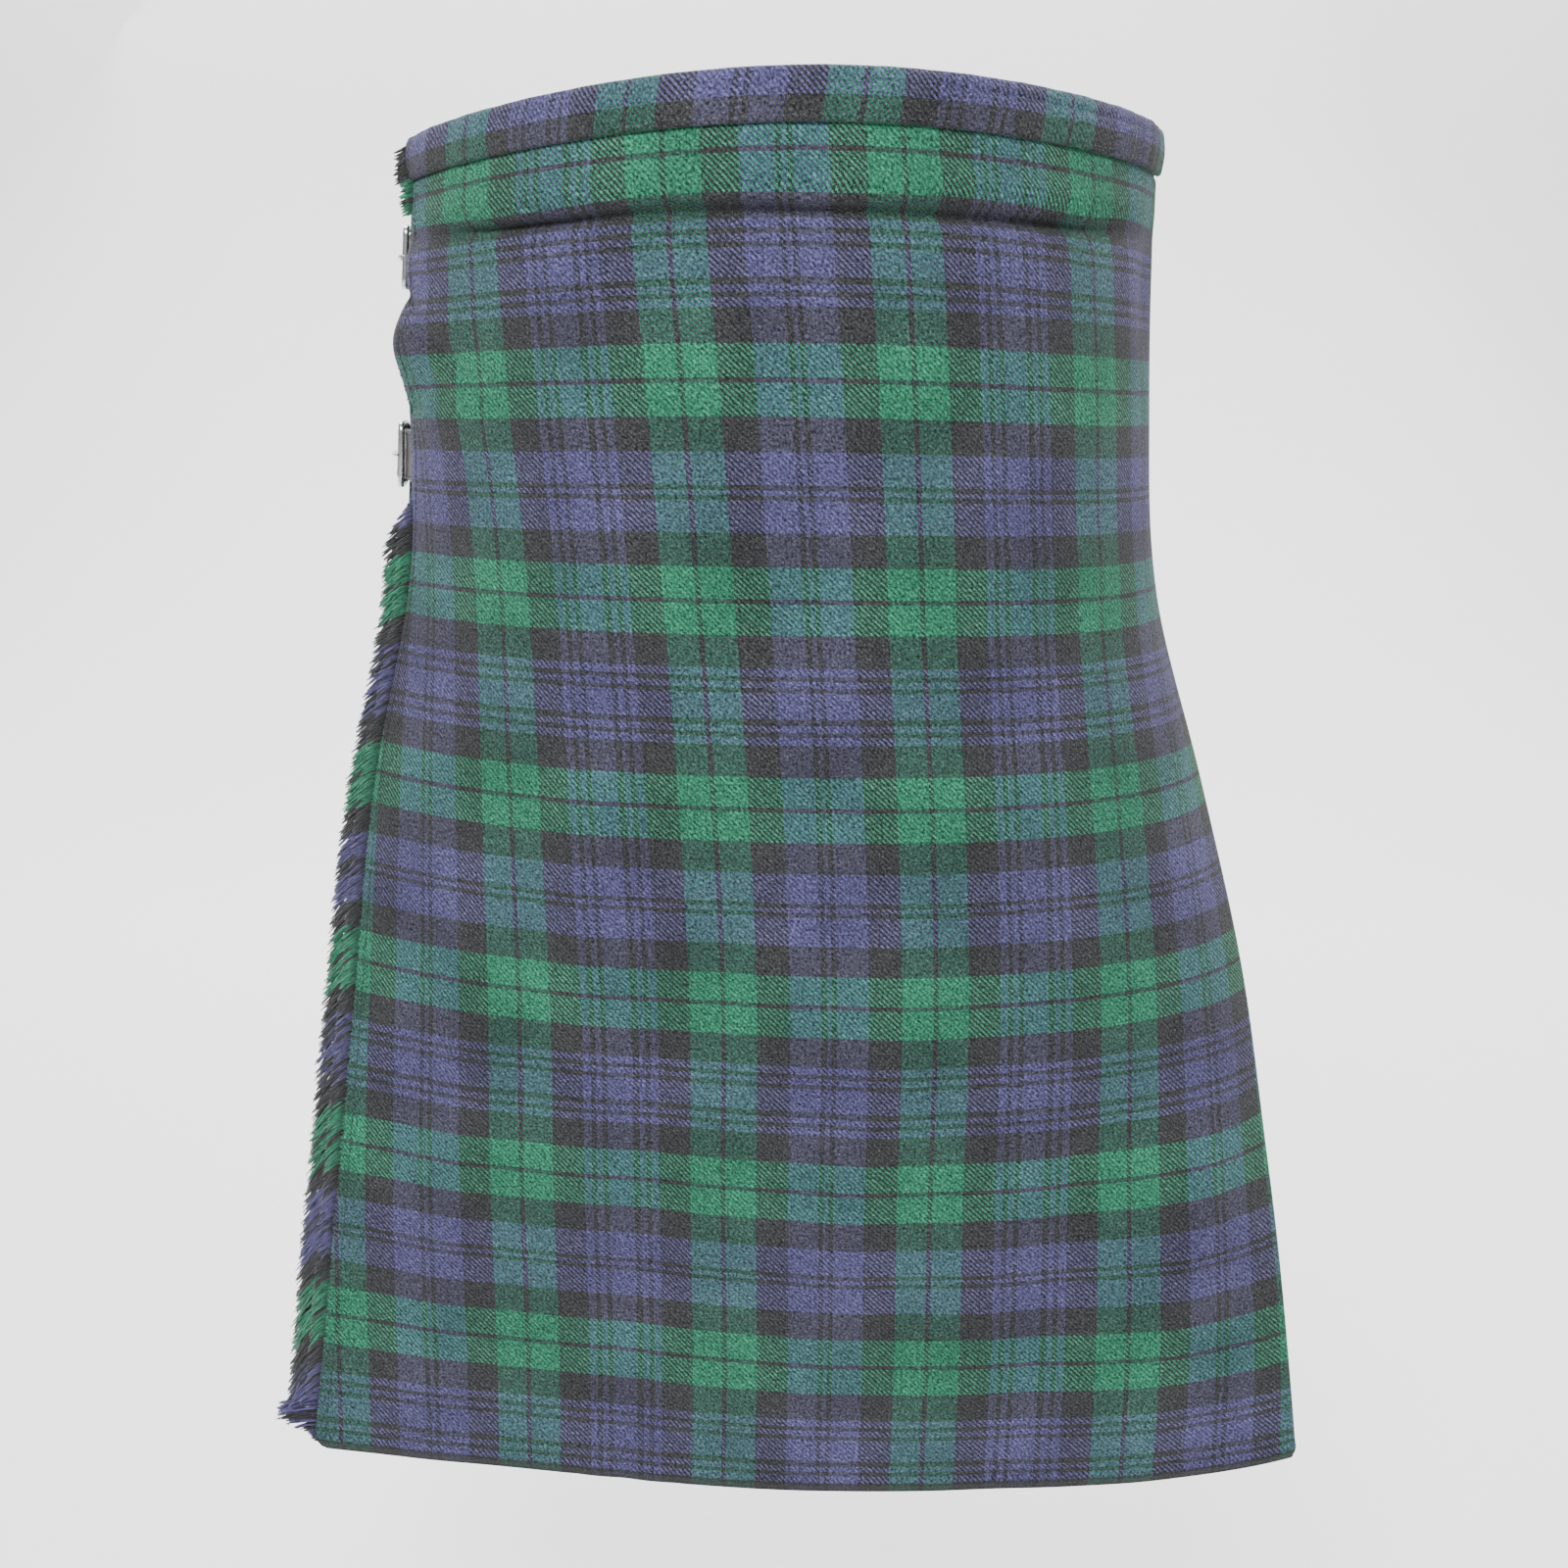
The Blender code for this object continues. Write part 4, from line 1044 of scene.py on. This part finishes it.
def yarn_end(surface, rng, drop, out, reach, droop):
    """Centre line of one yarn end. Where it is free it heads for -X, and its weight bends it down."""
    edge = float(APRON.at("fringe_arc", drop))
    arcs = np.array([edge + 0.0022, edge - 0.006, edge])
    root, ahead, raised = surface.at(drop, arcs, np.array([out, out, out + 0.01]))
    beside = surface.at(drop, edge, out)
    along = (ahead - root) / np.linalg.norm(ahead - root)
    outward = (raised - beside) / np.linalg.norm(raised - beside)
    free = fringe_freedom(drop)
    facing = math.acos(min(1.0, max(-1.0, -along[0])))
    lift = free * (0.85 * facing + rng.normal(0, 0.07)) - (1 - free) * 0.05
    heading = math.cos(lift) * along + math.sin(lift) * outward
    t = np.linspace(0, 1, len(YARN_TAPER))
    angle = droop * (0.45 + 0.70 * smooth_share(t * 1.5))
    middle = (angle[1:] + angle[:-1]) / 2
    step = reach / np.cos(middle).sum()
    run = np.concatenate([[0], np.cumsum(np.cos(middle) * step)])
    fall = np.concatenate([[0], np.cumsum(np.sin(middle) * step)])
    curl = rng.normal(0, 0.0004) * t ** 1.5 + rng.normal(0, 0.0002) * np.sin(t * 9)
    path = root + run[:, None] * heading + curl[:, None] * outward
    path[:, 2] -= fall
    return path, fall[-1]


def fringe(surface, material):
    """Fine yarn ends in crossing layers, along the over apron's open edge and the band's end."""
    rng = np.random.default_rng(11)
    parts, cloth = [], []
    for layer, (pitch, out, hip_reach, hem_reach, hip_droop, hem_droop) in enumerate(FRINGE_LAYERS):
        for start in np.arange(0.003, TAIL_END, pitch):
            drop = float(np.clip(start + rng.normal(0, 0.0003), 0.002, TAIL_END))
            lower = float(smooth_share((drop - 0.15) / 0.40))
            reach = hip_reach + (hem_reach - hip_reach) * lower
            droop = hip_droop + (hem_droop - hip_droop) * lower
            droop += 2 * math.sin(drop * 760 + 2.1 * layer) + 2 * math.sin(drop * 2300 + layer)
            droop += rng.normal(0, 3.5)
            if drop > TAIL_START:
                tail = float(smooth_share((drop - TAIL_START) / (TAIL_FULL - TAIL_START)))
                ending = float(smooth_share((drop - TAIL_FULL) / (TAIL_END - TAIL_FULL)))
                tuft = TAIL_REACH * (1 - 0.85 * ending) * rng.uniform(0.80, 1.05)
                reach = reach * (1 - tail) + tuft * tail
                droop = droop * (1 - tail) + (TAIL_DROOP + rng.normal(0, 5)) * tail
            if drop < TIGHT_TOP + TIGHT_FADE:
                reach *= BAND_REACH if drop < BAND_HEIGHT else BELOW_BAND_REACH * fringe_freedom(drop)
                droop *= 0.5
            elif drop < TIGHT_BOTTOM + TIGHT_RUN:
                reach *= TIGHT_REACH + (1 - TIGHT_REACH) * fringe_freedom(drop)
            reach *= rng.uniform(0.94, 1.03)
            droop = math.radians(droop)
            path, fall = yarn_end(surface, rng, drop, out, reach, droop)
            points, faces = tube(path, YARN_RADIUS * rng.uniform(0.8, 1.25) * YARN_TAPER, YARN_SIDES)
            parts.append((points, faces))
            place = np.zeros((len(points), 3))
            place[:, 0] = start + layer
            place[:, 1] = cloth_down(drop + YARN_COLOUR_FALL * fall)
            place[:-2, 2] = np.repeat(np.linspace(0, reach, len(path)), YARN_SIDES)
            place[-1, 2] = reach
            if drop < BAND_HEIGHT:
                place[:, 1] = HALF_SETT_DOWN * 0.24
            cloth.append(place)
    points, faces = join_parts(parts)
    piece = new_piece("yarn_apron_fringe", points, faces, material, np.concatenate(cloth))
    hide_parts("apron_fringe")
    return piece


STITCH_TAPER = np.array([0.35, 0.9, 1.0, 0.9, 0.35])
STITCH_SIDES = 5


def stitch_row(name, places, radius, material):
    """Short raised stitches: places are pairs of points, the start and the end of each."""
    parts = []
    for start, end in places:
        t = np.linspace(0, 1, len(STITCH_TAPER))[:, None]
        parts.append(tube(start * (1 - t) + end * t, radius * STITCH_TAPER, STITCH_SIDES))
    points, faces = join_parts(parts)
    return new_piece(name, points, faces, material)


EDGE_STITCH_PITCH = 0.0030
EDGE_STITCH_INSET = 0.0055
BAND_HIGHLIGHT_PITCH = 0.0038


def edge_stitches(surface, material):
    """The stay stitching beside the fringe."""
    pairs = []
    for drop in np.arange(0.026, LENGTH - 0.003, EDGE_STITCH_PITCH):
        edge = APRON.at("fringe_arc", drop) + EDGE_STITCH_INSET
        ends = surface.at(np.array([drop, drop + 0.0023]), edge, 0.0001 + apron_relief(drop, edge))
        pairs.append(ends)
    return stitch_row("stitch_apron_edge", pairs, 0.00028, material)


def band_highlight_dashes(surface, material):
    """Short pale dashes just above the waist seam: painted highlights of the twill, drawn as small raised
    stitches.
    """
    rng = np.random.default_rng(5)
    pairs = []
    drop = BAND_HEIGHT - 0.0011
    for arc in np.arange(-0.075, APRON.at("fold_arc", drop) - 0.01, BAND_HIGHLIGHT_PITCH):
        arc += rng.normal(0, 0.0003)
        ends = np.array([arc, arc + 0.0011])
        pairs.append(surface.at(drop + rng.normal(0, 0.0002), ends, SEAM + BAND_WALL + 0.0001))
    return stitch_row("painted_highlight_band_front", pairs, 0.00017, material)


# Straps and buckles

# Distance along a strap, and how far it lies out from the pleats there
STRAP_LIFTS = (
    (0.0, STRAP_GAP),
    (FRONT_BAR + 0.002, STRAP_GAP),
    (HEEL_BAR, 2 * BAR_RADIUS + TAB_WALL + 2 * STRAP_GAP),
    (TAB_START + 0.008, TAB_WALL + 2 * STRAP_GAP),
    (STRAP_LENGTH, TAB_WALL + 2 * STRAP_GAP),
)


def strap_lift(along):
    places = [place for place, lift in STRAP_LIFTS]
    for i in range(len(places) - 1):
        if along <= places[i + 1]:
            share = smooth_share((along - places[i]) / (places[i + 1] - places[i]))
            return STRAP_LIFTS[i][1] * (1 - share) + STRAP_LIFTS[i + 1][1] * share
    return STRAP_LIFTS[-1][1]


def strap_point(surfaces, which, along, down, lift):
    """A point near a strap, as in the part's source."""
    apron, body = surfaces
    drop = STRAP_DROPS[which] + down
    level = level_at(round(drop, 4))
    if which == "under":
        return body.at(drop, level.under_end - UNDER_STRAP_SEWN + along, lift)
    on_body = body.at(drop, level.edge_arc + STRAP_SEWN - along, lift)
    sewn_out = -APRON_WALL - STRAP_GAP - STRAP_WALL / 2
    on_apron = apron.at(drop, level.fringe_arc + STRAP_SEWN - along, sewn_out)
    free = smooth_share((along - STRAP_SEWN) / STRAP_SEWN)
    return on_apron * (1 - free) + on_body * free


def strap_shift(which):
    if which != "under":
        return 0.0
    return -level_at(STRAP_DROPS[which]).under_end + UNDER_STRAP_SEWN - STRAP_SEWN


# Half sections of a strap with a softened edge: shares of its half width and half thickness
STRAP_RING = (
    (-1.0, -0.45), (-1.0, 0.45), (-0.97, 0.85), (-0.90, 1.0), (-0.5, 1.0), (0.0, 1.0), (0.5, 1.0),
    (0.90, 1.0), (0.97, 0.85), (1.0, 0.45), (1.0, -0.45), (0.95, -1.0), (0.0, -1.0), (-0.95, -1.0),
)
SHARP_ANGLE = math.radians(50)
UNDER_STRAP_HIDDEN = 0.029
STRAP_STITCH_INSET = 0.0022
STRAP_STITCH_PITCH = 0.0034
STRAP_STITCH_LENGTH = 0.0024


def leather_piece(kind, which, rings, leather):
    points, faces = sweep_rings(np.array(rings))
    piece = new_piece("leather_" + kind + "_" + which, points, faces, leather)
    piece.data.set_sharp_from_angle(angle=SHARP_ANGLE)
    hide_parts(kind + "_" + which)


def strap(which, surfaces, leather):
    shift = strap_shift(which)
    rings = []
    stations = np.linspace(0.0, STRAP_LENGTH, 90)
    if shift:
        hidden = np.linspace(0.0, shift + UNDER_STRAP_HIDDEN - 0.001, 30)
        stations = np.concatenate([hidden, shift + stations[stations > UNDER_STRAP_HIDDEN]])
    for place in stations:
        along = place - shift
        narrow = np.clip((along - STRAP_LENGTH + STRAP_TAPER) / STRAP_TAPER, 0.0, 1.0)
        half = STRAP_WIDTH / 2 * (1 - narrow ** 2) + STRAP_TIP / 2 * narrow ** 2
        lift = strap_lift(max(along, 0.0)) + STRAP_WALL / 2
        if shift and along < UNDER_STRAP_HIDDEN:
            sink = smooth_share((place - 1.04 * UNDER_STRAP_SEWN) / 0.005)
            lift = STRAP_WALL / 2 + STRAP_GAP - sink * UNDER_STRAP_SINK
        rings.append([
            strap_point(surfaces, which, place, side * half, lift + up * STRAP_WALL / 2)
            for side, up in STRAP_RING
        ])
    leather_piece("strap", which, rings, leather)


def strap_stitches(which, surfaces, thread):
    """A row of stitches along both edges of a strap."""
    shift = strap_shift(which)
    inset = STRAP_WIDTH / 2 - STRAP_STITCH_INSET
    first = shift + 0.024 if shift else STRAP_SEWN + 0.006
    last = shift + STRAP_LENGTH - STRAP_TAPER - 0.003
    pairs = []
    for side in (-1, 1):
        for along in np.arange(first, last, STRAP_STITCH_PITCH):
            ends = []
            for place in (along, along + STRAP_STITCH_LENGTH):
                lift = strap_lift(max(place - shift, 0.0)) + STRAP_WALL + 0.00003
                ends.append(strap_point(surfaces, which, place, side * inset, lift))
            pairs.append(ends)
    stitch_row("stitch_strap_" + which, pairs, 0.00026, thread)


STRAP_HOLES = (0.078, 0.091, 0.104, 0.117)
HOLE_RADIUS = 0.0016


def strap_holes(which, surfaces, material):
    """Punched holes along the strap's free end, shown as dark rounds."""
    shift = strap_shift(which)
    parts = []
    for along in STRAP_HOLES:
        lift = strap_lift(along) + STRAP_WALL + 0.00005
        rim = []
        for turn in np.linspace(0, 2 * math.pi, 14, endpoint=False):
            place = shift + along + HOLE_RADIUS * math.cos(turn)
            rim.append(strap_point(surfaces, which, place, HOLE_RADIUS * math.sin(turn), lift))
        parts.append((np.array(rim), [tuple(range(len(rim)))]))
    points, faces = join_parts(parts)
    new_piece("leather_holes_" + which, points, faces, material)


def tab(which, surfaces, leather):
    shift = strap_shift(which)
    lift = STRAP_GAP + TAB_WALL / 2
    rings = []
    for along in np.linspace(TAB_START, TAB_END, 24):
        rings.append([
            strap_point(surfaces, which, shift + along, side * TAB_WIDTH / 2, lift + up * TAB_WALL / 2)
            for side, up in STRAP_RING
        ])
    leather_piece("tab", which, rings, leather)


FRAME_CORNER = 0.0045
CORNER_POINTS = 7
BAR_SIDES = 12
BAR_SQUARENESS = 0.6
PRONG_RADIUS = 0.0010
PRONG_TAPER = np.array([1.0, 1.0, 0.95, 0.9, 0.5])
PRONG_SIDES = 10
PRONG_CLEAR = 0.0013


def frame_path():
    """Distances along the strap and down it round the middle of the frame's bar."""
    half_long, half_high = (HEEL_BAR - FRONT_BAR) / 2, FRAME_HALF_HEIGHT
    middle = (HEEL_BAR + FRONT_BAR) / 2
    path = []
    for turn in range(4):
        centre_x = (half_long - FRAME_CORNER) * (1 if turn in (0, 3) else -1)
        centre_y = (half_high - FRAME_CORNER) * (1 if turn in (0, 1) else -1)
        for part in np.linspace(0, math.pi / 2, CORNER_POINTS):
            angle = turn * math.pi / 2 + part
            along = middle + centre_x + FRAME_CORNER * math.cos(angle)
            path.append((along, centre_y + FRAME_CORNER * math.sin(angle)))
    return path


def squared(value):
    """A circle's cosine or sine, drawn out towards a square."""
    return np.sign(value) * np.abs(value) ** BAR_SQUARENESS


def buckle(which, surfaces, metal):
    """A frame of rounded square bar."""
    shift = strap_shift(which)
    front_lift = STRAP_GAP + STRAP_WALL + STRAP_GAP + BAR_RADIUS
    heel_lift = TAB_WALL + BAR_RADIUS
    places = []
    for along, down in frame_path():
        share = (along - FRONT_BAR) / (HEEL_BAR - FRONT_BAR)
        lift = front_lift * (1 - share) + heel_lift * share
        places.append(strap_point(surfaces, which, shift + along, down, lift))
    places = np.array(places)
    ahead = np.roll(places, -1, 0) - np.roll(places, 1, 0)
    ahead /= np.linalg.norm(ahead, axis=1, keepdims=True)
    normal = np.cross(places[0] - places.mean(0), places[CORNER_POINTS] - places.mean(0))
    normal /= np.linalg.norm(normal)
    side = np.cross(ahead, normal)
    turns = np.linspace(0, 2 * math.pi, BAR_SIDES, endpoint=False)
    across, up = squared(np.cos(turns))[None, :, None], squared(np.sin(turns))[None, :, None]
    rings = places[:, None] + BAR_RADIUS * (across * side[:, None] + up * normal)
    faces = []
    for i in range(len(places)):
        this, following = i * BAR_SIDES, (i + 1) % len(places) * BAR_SIDES
        for k in range(BAR_SIDES):
            beside = (k + 1) % BAR_SIDES
            faces.append((this + k, this + beside, following + beside, following + k))
    frame = new_piece("metal_buckle_" + which, rings, faces, metal)
    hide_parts("buckle_" + which)


def prong(which, surfaces, metal):
    """A prong from the heel bar over the strap to the front bar."""
    shift = strap_shift(which)
    strap_top = strap_lift(HEEL_BAR) + STRAP_WALL + PRONG_CLEAR
    bar_top = STRAP_GAP + STRAP_WALL + STRAP_GAP + 2 * BAR_RADIUS + PRONG_CLEAR
    places = (
        (HEEL_BAR - 0.001, strap_top),
        ((HEEL_BAR * 2 + FRONT_BAR) / 3, bar_top + 0.0012),
        ((HEEL_BAR + 2 * FRONT_BAR) / 3, bar_top + 0.0006),
        (FRONT_BAR, bar_top),
        (FRONT_BAR - 0.003, bar_top - 0.0005),
    )
    path = [strap_point(surfaces, which, shift + along, 0.0, lift) for along, lift in places]
    points, faces = tube(path, PRONG_TAPER * PRONG_RADIUS, PRONG_SIDES)
    piece = new_piece("metal_prong_" + which, points, faces, metal)
    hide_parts("prong_" + which)


# Floor, light and camera


def area_light(name, place, target, size, power):
    light = bpy.data.lights.new(name, "AREA")
    light.shape = "RECTANGLE"
    light.size, light.size_y = size
    light.energy = power
    lamp = bpy.data.objects.new(name, light)
    bpy.context.scene.collection.objects.link(lamp)
    lamp.location = place
    lamp.visible_camera = False
    lamp.rotation_mode = "QUATERNION"
    lamp.rotation_quaternion = (Vector(target) - Vector(place)).to_track_quat("-Z", "Y")


FLOOR_HEIGHT = -0.95
BACK_WALL = 2.6
SWEEP_RADIUS = 1.2


def studio():
    """A pale floor that curves up into a pale wall behind."""
    line = [(-6.0, FLOOR_HEIGHT), (BACK_WALL - SWEEP_RADIUS, FLOOR_HEIGHT)]
    for turn in np.linspace(0, math.pi / 2, 13)[1:]:
        line.append((
            BACK_WALL - SWEEP_RADIUS + SWEEP_RADIUS * math.sin(turn),
            FLOOR_HEIGHT + SWEEP_RADIUS * (1 - math.cos(turn)),
        ))
    line.append((BACK_WALL, 6.0))
    points = [[(x, y, z) for x in (-7.0, 7.0)] for y, z in line]
    mesh = bpy.data.meshes.new("pale_floor")
    mesh.from_pydata(np.array(points).reshape(-1, 3).tolist(), [], grid_faces(len(line), 2).tolist())
    mesh.shade_smooth()
    material, tree, shader = new_material("pale_floor")
    tone = noise_node(tree, object_place(tree), 3.0, 2.0)
    colour = mix_colours(tree, tone, (0.92, 0.92, 0.92), (0.94, 0.94, 0.94))
    tree.links.new(colour, shader.inputs["Base Color"])
    shader.inputs["Roughness"].default_value = 0.9
    mesh.materials.append(material)
    floor = bpy.data.objects.new("pale_floor", mesh)
    bpy.context.scene.collection.objects.link(floor)
    world = bpy.data.worlds.new("soft_world")
    world.use_nodes = True
    world.node_tree.nodes["Background"].inputs["Color"].default_value = (1.0, 1.0, 1.0, 1.0)
    world.node_tree.nodes["Background"].inputs["Strength"].default_value = 0.40
    bpy.context.scene.world = world
    area_light("key", (-0.30, -1.25, 0.95), (0, 0, -0.35), (0.7, 0.7), 37.0)
    area_light("fill", (1.7, -1.6, 0.2), (0, 0, -0.35), (1.6, 1.6), 7.0)
    area_light("back_left", (-1.6, 1.9, 1.0), (0, 0, -0.3), (1.4, 1.4), 26.0)
    area_light("back_right", (1.7, 1.7, 0.8), (0, 0, -0.3), (1.4, 1.4), 22.0)
    area_light("wall", (0.0, 1.0, 3.2), (0, 2.6, -0.2), (4.0, 1.0), 330.0)


def camera():
    data = bpy.data.cameras.new("photo_camera")
    data.lens = CAMERA_LENS
    data.sensor_width = SENSOR
    data.clip_start, data.clip_end = 0.02, 50.0
    eye = bpy.data.objects.new("photo_camera", data)
    bpy.context.scene.collection.objects.link(eye)
    tilt = Matrix.Rotation(math.pi / 2 - CAMERA_TILT, 4, "X")
    roll = Matrix.Rotation(CAMERA_ROLL, 4, "Z")
    eye.matrix_world = Matrix.Translation(CAMERA_PLACE) @ tilt @ roll
    bpy.context.scene.camera = eye


def main():
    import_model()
    camera()
    studio()
    apron = Surface(apron_outline, -0.30, 0.40)
    body = Surface(body_outline, -0.75, 1.45)
    surfaces = (apron, body)
    tartan = tartan_material()
    yarn = fringe_material()
    leather = leather_material()
    metal = metal_material()
    dark_thread = stitch_material("stitch_dark", (0.020, 0.022, 0.030))
    # Pale dashes on the band's lower edge: painted highlights of the twill
    highlight_paint = stitch_material("painted_highlight_pale", (0.13, 0.15, 0.16))
    hole_shade = stitch_material("hole_shade", (0.003, 0.003, 0.003))

    over = over_apron(apron, tartan)
    under = under_apron(body, tartan)
    pleats = pleated_back(body, tartan)
    front_band, back_band, under_band = bands(apron, body, tartan)
    loose = fringe(apron, yarn)
    stay = edge_stitches(apron, dark_thread)
    band_highlights = band_highlight_dashes(apron, highlight_paint)
    for which in STRAP_DROPS:
        strap(which, surfaces, leather)
        strap_stitches(which, surfaces, dark_thread)
        tab(which, surfaces, leather)
        buckle(which, surfaces, metal)
        prong(which, surfaces, metal)
        strap_holes(which, surfaces, hole_shade)


main()
